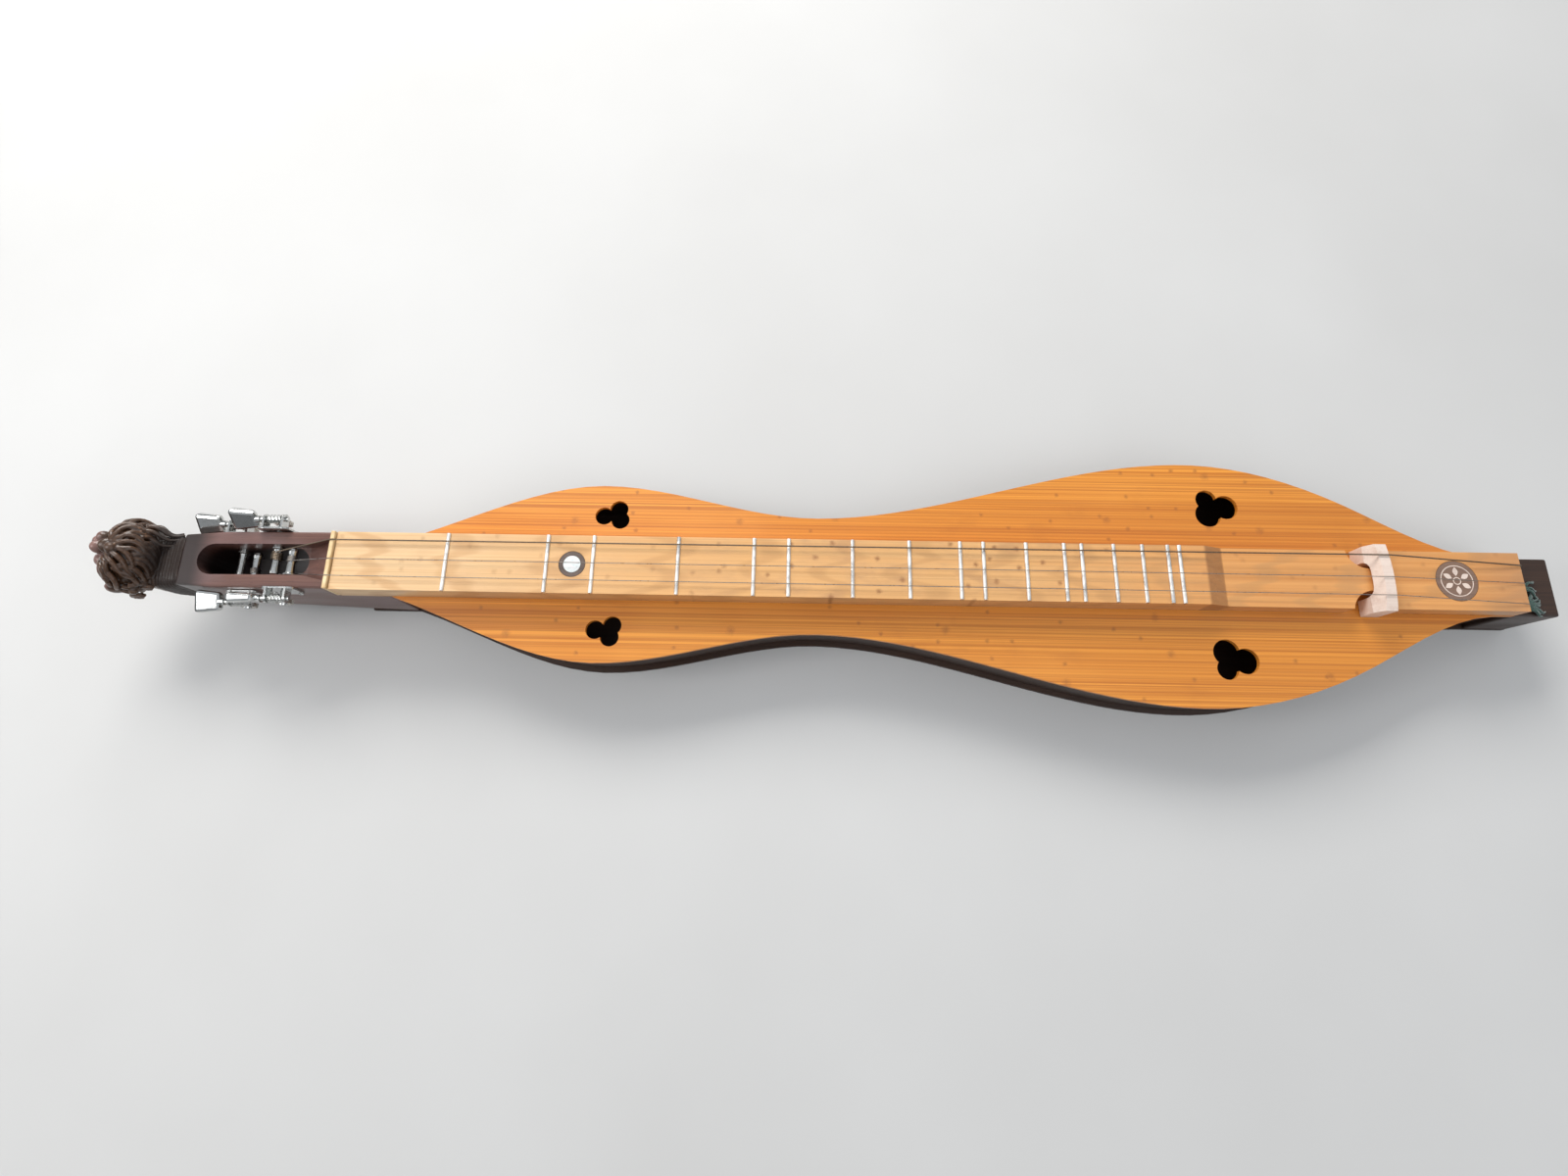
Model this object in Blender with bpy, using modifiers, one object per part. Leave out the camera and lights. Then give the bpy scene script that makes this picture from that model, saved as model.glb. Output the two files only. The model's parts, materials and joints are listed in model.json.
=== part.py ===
"""Mountain dulcimer with a carved head: hourglass body, raised fretboard and four geared tuners.

Lengths are metres. X runs along the instrument from the carved head to the tail, Y points
away from the player, and Z is up from the flat back that the instrument lies on. Places
along the instrument are given as a distance from the string side of the nut and turned into
frame X by from_nut, which puts the origin under the middle of the whole instrument.
"""

import math

import bmesh
import bpy
from mathutils import Matrix, Vector

# ---- driving dimensions -------------------------------------------------------------
COLLECTION = "mountain_dulcimer"
GAP = 0.0003

SCALE_LENGTH = 0.686
FRET_HALF_WIDTH = 0.0013
FRET_HEIGHT = 0.0010
FRET_SEMITONES = (2, 4, 5, 7, 9, 10, 12, 14, 16, 17, 19, 21, 22, 24, 26, 28, 29)

HEAD_TIP = -0.158
SCROLL_JOINT = -0.104
NUT_THICKNESS = 0.0029
HEEL_END = 0.034
FRETBOARD_END = 0.783
TAIL_END = 0.813

BOARD_THICKNESS = 0.003
BODY_TOP = 0.044
FRETBOARD_TOP = 0.061
STRUM_FLOOR = 0.056
STRUM_RAMP = (0.575, 0.588)
FRETBOARD_HALF_WIDTH = 0.01985

RIB_INSET = 0.0035
RIB_THICKNESS = 0.0025
BLOCK_HALF_WIDTH = 0.012
HEAD_BLOCK_END = 0.060
TAIL_BLOCK_START = 0.740

# The hourglass: distance from the nut, half width, and how fast the half width grows there.
BODY_STATIONS = (
    (0.034, 0.0200, 0.33), (0.173, 0.0625, 0.0), (0.318, 0.0407, 0.0), (0.575, 0.0850, 0.0),
    (0.690, 0.0530, -0.54), (0.760, 0.0215, -0.20), (0.783, 0.0200, 0.0), (0.813, 0.0200, 0.0),
)

# Sound holes, each bored by hand in three overlapping lobes and cleared in the middle:
# distance from the nut, distance off the middle, radius.
SOUND_HOLES = (
    ("head_hole", ((0.1728, 0.0402, 0.0063), (0.1828, 0.0451, 0.0063), (0.1841, 0.0373, 0.0063),
                   (0.1799, 0.0409, 0.0030))),
    ("tail_hole", ((0.5893, 0.0589, 0.0072), (0.5896, 0.0482, 0.0088), (0.6018, 0.0537, 0.0085),
                   (0.5936, 0.0536, 0.0040))),
)
HOLE_OVERCUT = 0.008

# Pegbox sections: distance from the nut, half width, underside and top.
PEGBOX_STATIONS = (
    (-0.104, 0.0175, 0.0200, 0.0580),
    (-0.076, 0.0193, 0.0170, 0.0595),
    (-0.042, 0.0193, 0.0125, 0.0608),
    (-0.010, 0.0195, 0.0070, 0.0612),
    (HEEL_END, 0.0200, BOARD_THICKNESS + GAP, 0.0612),
)
POCKET_SPAN = (-0.092, -0.0204)
POCKET_HALF_WIDTH = 0.0106
POCKET_FLOOR = 0.0240
RAMP_DEPTHS = (0.0530, 0.0583)
RAMP_HALF_WIDTHS = (0.0106, 0.0150)

NUT_TOP = 0.0632
NUT_NOTCH = 0.0006

BRIDGE_SPAN = (0.6810, 0.6925)
BRIDGE_TOP_THICKNESS = 0.0065
BRIDGE_HALF_WIDTH = 0.0225
BRIDGE_CROWN = 0.0642
BRIDGE_SHOULDER_DROP = 0.0022
ARCH_HALF_WIDTH = 0.0120
ARCH_SPRING = 0.0500
ARCH_RISE = 0.0086
NOTCH_CENTRE = (0.684, 0.022)
NOTCH_RADIUS = 0.0145
NOTCH_BACK = 0.6935

# Strings: name, radius, Y at the nut, the bridge and the tail.
STRINGS = (
    ("bass_string", 0.00050, 0.0135, 0.0145, 0.0110),
    ("middle_string", 0.00025, 0.0005, -0.0005, -0.0010),
    ("melody_string", 0.00025, -0.0110, -0.0125, -0.0150),
)
HITCH_X = 0.790
SPARE_HITCH_Y = -0.0105

# Tuners: number, side (+1 is away from the player), distance from the nut, post height.
TUNERS = (
    (1, 1, -0.0725, 0.0435),
    (2, -1, -0.0624, 0.0435),
    (3, 1, -0.0414, 0.0550),
    (4, -1, -0.0309, 0.0550),
)
WORM_OFFSET = 0.0080
GEAR_PLANE = 0.0272
GEAR_TEETH = 14
GEAR_TIP = 0.0055
GEAR_ROOT = 0.0045
GEAR_WIDTH = 0.0028
GEAR_BORE = 0.0020
WORM_LEAD = 0.0023
WORM_TURNS = 4
WORM_TIP = 0.0031
WORM_ROOT = 0.0021
SHAFT_RADIUS = 0.0015
PLATE_INNER = 0.0198
PLATE_THICKNESS = 0.0012
PLATE_CORNERS = (-0.0080, -0.0025, 0.0080, 0.0081)
PLATE_ROUNDING = 0.0025
PLATE_REACH = 0.012
BORE_OVERCUT = 0.002
EAR_X = 0.0063
EAR_RADIUS = 0.0032
EAR_ROOT = 0.0002
EAR_THICKNESS = 0.0013
BUTTON_START = 0.0103
BUTTON_LENGTH = 0.0185
BUTTON_WIDTH = 0.0156
BUTTON_THICKNESS = 0.0070
BUTTON_TURNS = (-50.0, -75.0, -40.0, 10.0)
BUTTON_BEVEL = 0.0020
BUTTON_NECK = 0.0024
# Bass, middle and melody string at the posts: tuner, place across, over (1) or under (-1)
# the post, and how far short of the post's axis the string stops.
LEADS = ((3, 0.0060, 1, 0.0012), (4, 0.0, 1, 0.0008), (2, -0.0055, -1, 0.0012))
LEAD_CLEARANCE = 0.0006
PASSING_Y = -0.0070
PASSING_DROP = 0.0034
POST_BORE = 0.0033
POST_RADIUS = 0.0025

MARKER_X = 0.1585
MARKER_RADIUS = 0.0086
DOT_RADIUS = 0.0057
INLAY_X = 0.7394
INLAY_RADIUS = 0.0135
INLAY_DEPTH = 0.0018
SHARP_ANGLE = 32.0

WALNUT = (0.10, 0.045, 0.032, 1.0)
CEDAR = (0.66, 0.36, 0.15, 1.0)
HONEY = (0.78, 0.52, 0.28, 1.0)
PALE_WOOD = (0.86, 0.72, 0.52, 1.0)
GREY_WOOD = (0.30, 0.24, 0.20, 1.0)
PEARL = (0.82, 0.84, 0.82, 1.0)
NICKEL = (0.78, 0.78, 0.76, 1.0)
STEEL = (0.55, 0.55, 0.55, 1.0)

ORIGIN_SHIFT = (HEAD_TIP + TAIL_END) / 2


def from_nut(distance):
    """Frame X of a place given as its distance from the nut toward the tail."""
    return distance - ORIGIN_SHIFT


# ---- scene and materials ------------------------------------------------------------
def clear_scene():
    for obj in list(bpy.data.objects):
        bpy.data.objects.remove(obj, do_unlink=True)


def new_collection(name):
    collection = bpy.data.collections.new(name)
    bpy.context.scene.collection.children.link(collection)
    return collection


def finish_of(name, colour, roughness, metallic=0.0):
    material = bpy.data.materials.new(name)
    material.use_nodes = True
    shader = material.node_tree.nodes["Principled BSDF"]
    shader.inputs["Base Color"].default_value = colour
    shader.inputs["Roughness"].default_value = roughness
    shader.inputs["Metallic"].default_value = metallic
    return material


class Shop:
    """The collections that parts and cutters go in."""

    parts = None
    cutters = None


def add_part(name, mesh, finish, location=(0, 0, 0)):
    obj = bpy.data.objects.new(name, mesh)
    Shop.parts.objects.link(obj)
    mesh.name = name
    mesh.materials.clear()
    mesh.materials.append(finish)
    obj.location = location
    return obj


def add_cutter(name, mesh, location=(0, 0, 0)):
    obj = bpy.data.objects.new(name, mesh)
    Shop.cutters.objects.link(obj)
    obj.location = location
    obj.hide_render = True
    obj.display_type = "WIRE"
    return obj


def boolean(target, tool, operation="DIFFERENCE"):
    modifier = target.modifiers.new(operation.lower() + "_" + tool.name, "BOOLEAN")
    modifier.operation = operation
    modifier.solver = "EXACT"
    modifier.object = tool


def bevel(target, width, segments=2, angle=50.0):
    modifier = target.modifiers.new("eased_edges", "BEVEL")
    modifier.width = width
    modifier.segments = segments
    modifier.limit_method = "ANGLE"
    modifier.angle_limit = math.radians(angle)
    modifier.use_clamp_overlap = True


# ---- shapes -------------------------------------------------------------------------
def mesh_from(bm):
    mesh = bpy.data.meshes.new("shape")
    bmesh.ops.recalc_face_normals(bm, faces=bm.faces)
    bm.to_mesh(mesh)
    bm.free()
    return mesh


def box_mesh(low, high):
    low = Vector(low)
    high = Vector(high)
    size = high - low
    place = Matrix.Translation((low + high) / 2) @ Matrix.Diagonal((*size, 1.0))
    bm = bmesh.new()
    bmesh.ops.create_cube(bm, size=1.0, matrix=place)
    return mesh_from(bm)


def rod_mesh(radius, start, end, segments=24):
    """Cylinder between two points."""
    start = Vector(start)
    end = Vector(end)
    along = end - start
    turn = Vector((0, 0, 1)).rotation_difference(along).to_matrix().to_4x4()
    place = Matrix.Translation((start + end) / 2) @ turn
    bm = bmesh.new()
    bmesh.ops.create_cone(bm, cap_ends=True, segments=segments, radius1=radius,
                          radius2=radius, depth=along.length, matrix=place)
    return mesh_from(bm)


def outline_mesh(loops, low, high):
    """Flat outline (with holes) as a solid from height low to height high."""
    curve = bpy.data.curves.new("outline", "CURVE")
    curve.dimensions = "2D"
    curve.fill_mode = "BOTH"
    curve.extrude = (high - low) / 2
    for loop in loops:
        spline = curve.splines.new("POLY")
        spline.points.add(len(loop) - 1)
        for point, (x, y) in zip(spline.points, loop):
            point.co = (x, y, 0.0, 1.0)
        spline.use_cyclic_u = True
    mesh = mesh_of_curve(curve)
    mesh.transform(Matrix.Translation((0, 0, (low + high) / 2)))
    return mesh


def mesh_of_curve(curve):
    holder = bpy.data.objects.new("curve", curve)
    bpy.context.scene.collection.objects.link(holder)
    bpy.context.view_layer.update()
    evaluated = holder.evaluated_get(bpy.context.evaluated_depsgraph_get())
    mesh = bpy.data.meshes.new_from_object(evaluated)
    bpy.data.objects.remove(holder, do_unlink=True)
    bm = bmesh.new()
    bm.from_mesh(mesh)
    bmesh.ops.remove_doubles(bm, verts=bm.verts, dist=1e-6)
    bmesh.ops.recalc_face_normals(bm, faces=bm.faces)
    bm.to_mesh(mesh)
    bm.free()
    return mesh


def tube_mesh(points, radius, resolution=1):
    curve = bpy.data.curves.new("tube", "CURVE")
    curve.dimensions = "3D"
    curve.bevel_depth = radius
    curve.bevel_resolution = resolution
    curve.use_fill_caps = True
    spline = curve.splines.new("POLY")
    spline.points.add(len(points) - 1)
    for point, place in zip(spline.points, points):
        point.co = (*place, 1.0)
    return mesh_of_curve(curve)


def turned_mesh(profile, steps):
    """Closed mesh from a (radius, height) profile, top to bottom, spun about Z."""
    mesh = bpy.data.meshes.new("profile")
    verts = [(radius, 0.0, height) for radius, height in profile]
    edges = [(i, i + 1) for i in range(len(verts) - 1)]
    mesh.from_pydata(verts, edges, [])
    holder = bpy.data.objects.new("turned", mesh)
    bpy.context.scene.collection.objects.link(holder)
    screw = holder.modifiers.new("turn", "SCREW")
    screw.steps = steps
    screw.render_steps = steps
    screw.use_merge_vertices = True
    screw.merge_threshold = 1e-6
    bpy.context.view_layer.update()
    evaluated = holder.evaluated_get(bpy.context.evaluated_depsgraph_get())
    result = bpy.data.meshes.new_from_object(evaluated)
    bpy.data.objects.remove(holder, do_unlink=True)
    return result


def box_loft_mesh(stations):
    """Rectangular sections (x, half width, underside, top) joined along X."""
    bm = bmesh.new()
    rings = []
    for x, half, low, high in stations:
        corners = ((x, -half, low), (x, half, low), (x, half, high), (x, -half, high))
        rings.append([bm.verts.new(corner) for corner in corners])
    for ring, following in zip(rings, rings[1:]):
        for side in range(4):
            after = (side + 1) % 4
            bm.faces.new((ring[side], following[side], following[after], ring[after]))
    bm.faces.new(rings[0])
    bm.faces.new(list(reversed(rings[-1])))
    return mesh_from(bm)


def arc(centre, radius, start, end, count):
    """Points on an arc in degrees, both ends included."""
    points = []
    for i in range(count + 1):
        angle = math.radians(start + (end - start) * i / count)
        points.append((centre[0] + radius * math.cos(angle),
                       centre[1] + radius * math.sin(angle)))
    return points


# ---- body ---------------------------------------------------------------------------
def half_width(distance):
    """Half width of the body: a cubic between stations, with the stations' own slopes."""
    index = 0
    while index < len(BODY_STATIONS) - 2 and distance > BODY_STATIONS[index + 1][0]:
        index += 1
    x0, width0, slope0 = BODY_STATIONS[index]
    x1, width1, slope1 = BODY_STATIONS[index + 1]
    span = x1 - x0
    t = (distance - x0) / span
    blend = t * t * (3 - 2 * t)
    bulge = span * t * (1 - t) * (slope0 * (1 - t) - slope1 * t)
    return width0 + (width1 - width0) * blend + bulge


def side_curve(start, end, inset, count=60):
    """Points along the body's +Y side, moved inward by inset."""
    points = []
    step = 1e-4
    for i in range(count + 1):
        x = start + (end - start) * i / count
        rise = (half_width(x + step) - half_width(x - step)) / (2 * step)
        length = math.hypot(1.0, rise)
        px = x + inset * rise / length
        py = half_width(x) - inset / length
        points.append((px, py))
    return points


def framed(points):
    return [(from_nut(x), y) for x, y in points]


def mirrored(points):
    return [(x, -y) for x, y in reversed(points)]


def bore_sound_hole(board, name, lobes, hand):
    for index, (distance, offset, radius) in enumerate(lobes):
        x = from_nut(distance)
        y = hand * offset
        mesh = rod_mesh(radius, (x, y, BODY_TOP - HOLE_OVERCUT), (x, y, BODY_TOP + HOLE_OVERCUT), 26)
        boolean(board, add_cutter(f"{name}_{index}", mesh))


def make_boards(cedar, walnut):
    side = side_curve(HEEL_END, FRETBOARD_END, 0.0)
    outline = framed(side + mirrored(side))
    top = outline_mesh([outline], BODY_TOP - BOARD_THICKNESS, BODY_TOP)
    soundboard = add_part("soundboard", top, cedar)
    for name, lobes in SOUND_HOLES:
        for label, hand in (("far", 1), ("near", -1)):
            bore_sound_hole(soundboard, f"{name}_{label}", lobes, hand)

    half = [(0.0, BODY_STATIONS[0][1])] + side + [(TAIL_END, BODY_STATIONS[-1][1])]
    outline = framed(half + mirrored(half))
    add_part("back_board", outline_mesh([outline], 0.0, BOARD_THICKNESS), walnut)


def make_ribs(walnut):
    low = BOARD_THICKNESS + GAP
    high = BODY_TOP - BOARD_THICKNESS - GAP
    start = HEEL_END + GAP + 0.0012
    end = FRETBOARD_END - GAP
    outer = side_curve(start, end, RIB_INSET)
    inner = side_curve(start, end, RIB_INSET + RIB_THICKNESS)
    for name, hand in (("rib_far", 1), ("rib_near", -1)):
        loop = outer + list(reversed(inner))
        outline = [(from_nut(x), hand * y) for x, y in loop]
        add_part(name, outline_mesh([outline], low, high), walnut)


def make_braces(cedar):
    low = BOARD_THICKNESS + GAP
    high = BODY_TOP - BOARD_THICKNESS - GAP
    places = (("back_brace", 0.575, low, low + 0.008),
              ("head_brace", 0.230, high - 0.007, high),
              ("tail_brace", 0.640, high - 0.007, high))
    for name, x, bottom, top in places:
        reach = min(half_width(x - 0.003), half_width(x + 0.003)) - RIB_INSET - RIB_THICKNESS - 0.0015
        size = (0.003, reach, (top - bottom) / 2)
        mesh = box_mesh([-value for value in size], size)
        brace = add_part(name, mesh, cedar, (from_nut(x), 0, (top + bottom) / 2))
        bevel(brace, 0.0015, 1)


def hitch_places():
    return [string[4] for string in STRINGS] + [SPARE_HITCH_Y]


def make_tail_block(walnut):
    """Solid end of the body: a tall outer part and a low one that runs in between the ribs."""
    low = BOARD_THICKNESS + GAP
    half = BODY_STATIONS[-1][1]
    outer = box_mesh((from_nut(FRETBOARD_END) + GAP, -half, low), (from_nut(TAIL_END), half, BODY_TOP))
    block = add_part("tail_block", outer, walnut)
    bevel(block, 0.0012, 2)
    inner = box_mesh((from_nut(TAIL_BLOCK_START), -BLOCK_HALF_WIDTH, low),
                     (from_nut(FRETBOARD_END) + 0.01, BLOCK_HALF_WIDTH, BODY_TOP - BOARD_THICKNESS - GAP))
    boolean(block, add_cutter("tail_block_inner_end", inner), "UNION")
    for index, y in enumerate(hitch_places(), 1):
        hole = rod_mesh(0.0013, (0, 0, -0.006), (0, 0, 0.006), 12)
        boolean(block, add_cutter(f"hitch_hole_{index}", hole, (from_nut(HITCH_X), y, BODY_TOP)))


# ---- pegbox and carved head ---------------------------------------------------------
def make_pegbox(walnut):
    """Neck heel, nut ledge and the slotted box that the tuner posts cross, in one piece."""
    stations = [(from_nut(x), half, low, high) for x, half, low, high in PEGBOX_STATIONS]
    pegbox = add_part("pegbox", box_loft_mesh(stations), walnut)
    bevel(pegbox, 0.0014, 2, 60.0)

    seat = box_mesh((from_nut(-NUT_THICKNESS - 2 * GAP), -0.03, BODY_TOP),
                    (from_nut(HEEL_END) + 0.01, 0.03, 0.09))
    boolean(pegbox, add_cutter("nut_and_fretboard_seat", seat))

    head, tail = POCKET_SPAN
    radius = POCKET_HALF_WIDTH
    outline = arc((tail - radius, 0.0), radius, -90, 90, 12)
    outline += arc((head + radius, 0.0), radius, 90, 270, 12)
    boolean(pegbox, add_cutter("string_slot", outline_mesh([framed(outline)], POCKET_FLOOR, 0.08)))

    ramp = box_loft_mesh((
        (from_nut(tail - radius), RAMP_HALF_WIDTHS[0], RAMP_DEPTHS[0], 0.08),
        (from_nut(tail), RAMP_HALF_WIDTHS[0], RAMP_DEPTHS[0], 0.08),
        (from_nut(0.0), RAMP_HALF_WIDTHS[1], RAMP_DEPTHS[1], 0.08),
    ))
    boolean(pegbox, add_cutter("string_ramp", ramp))

    for number, side, x, z in TUNERS:
        bore = rod_mesh(POST_BORE, (0, side * 0.006, 0), (0, side * 0.026, 0), 20)
        boolean(pegbox, add_cutter(f"post_bore_{number}", bore, (from_nut(x), 0, z)))

    inner = box_mesh((from_nut(HEEL_END) - 0.01, -BLOCK_HALF_WIDTH, BOARD_THICKNESS + GAP),
                     (from_nut(HEAD_BLOCK_END), BLOCK_HALF_WIDTH, BODY_TOP - BOARD_THICKNESS - GAP))
    boolean(pegbox, add_cutter("head_block_inner_end", inner), "UNION")


def ball_mesh(centre, radii, segments=16, rings=10):
    place = Matrix.Translation(centre) @ Matrix.Diagonal((*radii, 1.0))
    bm = bmesh.new()
    bmesh.ops.create_uvsphere(bm, u_segments=segments, v_segments=rings, radius=1.0, matrix=place)
    return mesh_from(bm)


def make_lion_scroll(walnut):
    """Carved lion's head as its outer forms: neck, mane, brow, muzzle, chin and ears."""
    neck = box_loft_mesh((
        (from_nut(SCROLL_JOINT) - GAP, 0.0172, 0.0200, 0.0575),
        (from_nut(-0.112), 0.0170, 0.0215, 0.0550),
        (from_nut(-0.128), 0.0150, 0.0330, 0.0560),
    ))
    scroll = add_part("lion_scroll", neck, walnut)
    bevel(scroll, 0.002, 2, 60.0)
    muzzle_reach = 0.0105
    forms = (
        ("mane", (-0.1310, -0.001, 0.0560), (0.0185, 0.0250, 0.0210)),
        ("brow", (-0.1425, 0.006, 0.0680), (0.0100, 0.0130, 0.0085)),
        ("muzzle", (HEAD_TIP + muzzle_reach, 0.008, 0.0620), (muzzle_reach, 0.0105, 0.0100)),
        ("chin", (-0.1460, 0.007, 0.0500), (0.0085, 0.0085, 0.0080)),
        ("near_lock", (-0.1270, -0.0200, 0.0640), (0.0090, 0.0060, 0.0070)),
        ("far_lock", (-0.1290, 0.0190, 0.0670), (0.0090, 0.0060, 0.0060)),
    )
    for name, (x, y, z), radii in forms:
        boolean(scroll, add_cutter(f"lion_{name}", ball_mesh((from_nut(x), y, z), radii)), "UNION")


# ---- fretboard, frets, nut and bridge -----------------------------------------------
def fret_place(semitones):
    return SCALE_LENGTH * (1 - 2 ** (-semitones / 12))


def side_profile_mesh(profile, half):
    """An X-Z profile as a solid from Y = -half to Y = +half."""
    mesh = outline_mesh([profile], -half, half)
    mesh.transform(Matrix.Rotation(math.radians(90), 4, "X"))
    return mesh


def make_fretboard(honey):
    low = BODY_TOP + GAP
    profile = [
        (GAP, low), (FRETBOARD_END, low), (FRETBOARD_END, STRUM_FLOOR),
        (STRUM_RAMP[1], STRUM_FLOOR), (STRUM_RAMP[0], FRETBOARD_TOP), (GAP, FRETBOARD_TOP),
    ]
    board = add_part("fretboard", side_profile_mesh(framed(profile), FRETBOARD_HALF_WIDTH), honey)
    channel = box_mesh((from_nut(0.040), -0.010, BODY_TOP - 0.004), (from_nut(0.560), 0.010, 0.0530))
    boolean(board, add_cutter("sound_channel", channel))

    cx, cy = NOTCH_CENTRE
    reach = math.degrees(math.acos((NOTCH_BACK - cx) / NOTCH_RADIUS))
    for hand in (1, -1):
        loop = arc((cx, hand * cy), NOTCH_RADIUS, reach, 360 - reach, 26)
        notch = outline_mesh([framed(loop)], BODY_TOP - 0.002, FRETBOARD_TOP + 0.002)
        boolean(board, add_cutter(f"bridge_notch_{hand + 1}", notch))

    for number, semitones in enumerate(FRET_SEMITONES, 1):
        slot = box_mesh((-0.0006, -0.021, -0.0023), (0.0006, 0.021, 0.001))
        place = (from_nut(fret_place(semitones)), 0, FRETBOARD_TOP)
        boolean(board, add_cutter(f"fret_slot_{number:02d}", slot, place))

    for name, x, top, radius in (("marker_recess", MARKER_X, FRETBOARD_TOP, MARKER_RADIUS),
                                 ("inlay_recess", INLAY_X, STRUM_FLOOR, INLAY_RADIUS)):
        hole = rod_mesh(radius + GAP, (0, 0, -INLAY_DEPTH - GAP), (0, 0, 0.002), 36)
        boolean(board, add_cutter(name, hole, (from_nut(x), 0, top)))


def make_frets(nickel):
    flatten = FRET_HEIGHT / FRET_HALF_WIDTH
    crown = [(x, GAP + z * flatten) for x, z in arc((0.0, 0.0), FRET_HALF_WIDTH, 0, 180, 8)]
    tang = [(-0.0003, GAP), (-0.0003, -0.0019), (0.0003, -0.0019), (0.0003, GAP)]
    mesh = side_profile_mesh(crown + tang, FRETBOARD_HALF_WIDTH - 0.0002)
    for number, semitones in enumerate(FRET_SEMITONES, 1):
        place = (from_nut(fret_place(semitones)), 0, FRETBOARD_TOP)
        fret = bpy.data.objects.new(f"fret_{number:02d}", mesh)
        fret.location = place
        Shop.parts.objects.link(fret)
    mesh.materials.append(nickel)


def make_inlays(pearl, grey):
    marker = (from_nut(MARKER_X), 0, FRETBOARD_TOP)
    circle = arc((0, 0), MARKER_RADIUS, 0, 350, 35)
    hole = arc((0, 0), DOT_RADIUS + GAP, 0, 348, 29)
    add_part("marker_ring", outline_mesh([circle, hole], -INLAY_DEPTH, 0.0), grey, marker)
    dot = rod_mesh(DOT_RADIUS, (0, 0, -INLAY_DEPTH), (0, 0, 0.0001), 30)
    add_part("marker_dot", dot, pearl, marker)
    disc = rod_mesh(INLAY_RADIUS, (0, 0, -INLAY_DEPTH), (0, 0, 0), 40)
    add_part("tail_inlay", disc, grey, (from_nut(INLAY_X), 0, STRUM_FLOOR))


def make_nut(pale):
    low = BODY_TOP + GAP
    size = (NUT_THICKNESS / 2, FRETBOARD_HALF_WIDTH, (NUT_TOP - low) / 2)
    place = (from_nut(-GAP - NUT_THICKNESS / 2), 0, (NUT_TOP + low) / 2)
    nut = add_part("nut", box_mesh([-value for value in size], size), pale, place)
    bevel(nut, 0.0007, 2)
    for name, radius, y_nut, _, _ in STRINGS:
        notch = box_mesh((-0.004, -radius - GAP, -NUT_NOTCH), (0.004, radius + GAP, 0.002))
        boolean(nut, add_cutter(f"{name}_notch", notch, (place[0], y_nut, NUT_TOP)))


def crown_height(y):
    return BRIDGE_CROWN - BRIDGE_SHOULDER_DROP * (y / BRIDGE_HALF_WIDTH) ** 2


def arch_height(y):
    """Underside of the bridge: a squarish arch over the fretboard's tongue."""
    return ARCH_SPRING + ARCH_RISE * (1 - (abs(y) / ARCH_HALF_WIDTH) ** 4) ** 0.25


def make_bridge(pale):
    """Two legs stand on the soundboard, and the narrowed fretboard runs under the arch."""
    foot = BODY_TOP + GAP
    outer = BRIDGE_HALF_WIDTH
    crown = [(outer - outer * i / 10, crown_height(outer - outer * i / 10)) for i in range(21)]
    arch = []
    for i in range(17):
        y = -ARCH_HALF_WIDTH * math.cos(math.pi * i / 16)
        arch.append((y, arch_height(y)))
    near_foot = [(-outer, foot), (-ARCH_HALF_WIDTH, foot)]
    far_foot = [(ARCH_HALF_WIDTH, foot), (outer, foot)]
    loop = near_foot + arch + far_foot + crown
    start, end = BRIDGE_SPAN
    mesh = outline_mesh([loop], from_nut(start), from_nut(end))
    mesh.transform(Matrix(((0, 0, 1, 0), (1, 0, 0, 0), (0, 1, 0, 0), (0, 0, 0, 1))))
    bridge = add_part("bridge", mesh, pale)
    lean_end = end - BRIDGE_TOP_THICKNESS
    lean = [(start - 0.004, STRUM_FLOOR), (start, STRUM_FLOOR), (lean_end, BRIDGE_CROWN),
            (lean_end, 0.070), (start - 0.004, 0.070)]
    boolean(bridge, add_cutter("bridge_lean", side_profile_mesh(framed(lean), 0.03)))


# ---- strings ------------------------------------------------------------------------
def string_leads():
    """Where each string leaves the nut for its post: points in front of the windings."""
    leads = []
    for number, y, hand, stop in LEADS:
        _, _, x, z = TUNERS[number - 1]
        height = z + hand * (POST_RADIUS + LEAD_CLEARANCE)
        leads.append([(from_nut(x) + stop, y, height)])
    _, _, x, z = TUNERS[3]
    leads[2].append((from_nut(x), PASSING_Y, z - PASSING_DROP))
    return leads


def make_strings(steel):
    for (name, radius, y_nut, y_bridge, y_tail), lead in zip(STRINGS, string_leads()):
        lift = radius + GAP
        over_nut = NUT_TOP - NUT_NOTCH + lift
        over_bridge = crown_height(y_bridge) + lift + 0.0002
        start, end = BRIDGE_SPAN
        points = lead + [
            (from_nut(-NUT_THICKNESS), y_nut, over_nut),
            (from_nut(0.0), y_nut, over_nut),
            (from_nut(end - BRIDGE_TOP_THICKNESS), y_bridge, over_bridge),
            (from_nut(end), y_bridge, over_bridge),
            (from_nut(FRETBOARD_END) - 0.0005, y_tail, STRUM_FLOOR + lift + 0.0002),
            (from_nut(FRETBOARD_END) + lift + 0.0003, y_tail, STRUM_FLOOR - 0.0008),
            (from_nut(HITCH_X) - 0.0016 - radius, y_tail, BODY_TOP + 0.0015),
        ]
        add_part(name, tube_mesh(points, radius, 1), steel)


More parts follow.
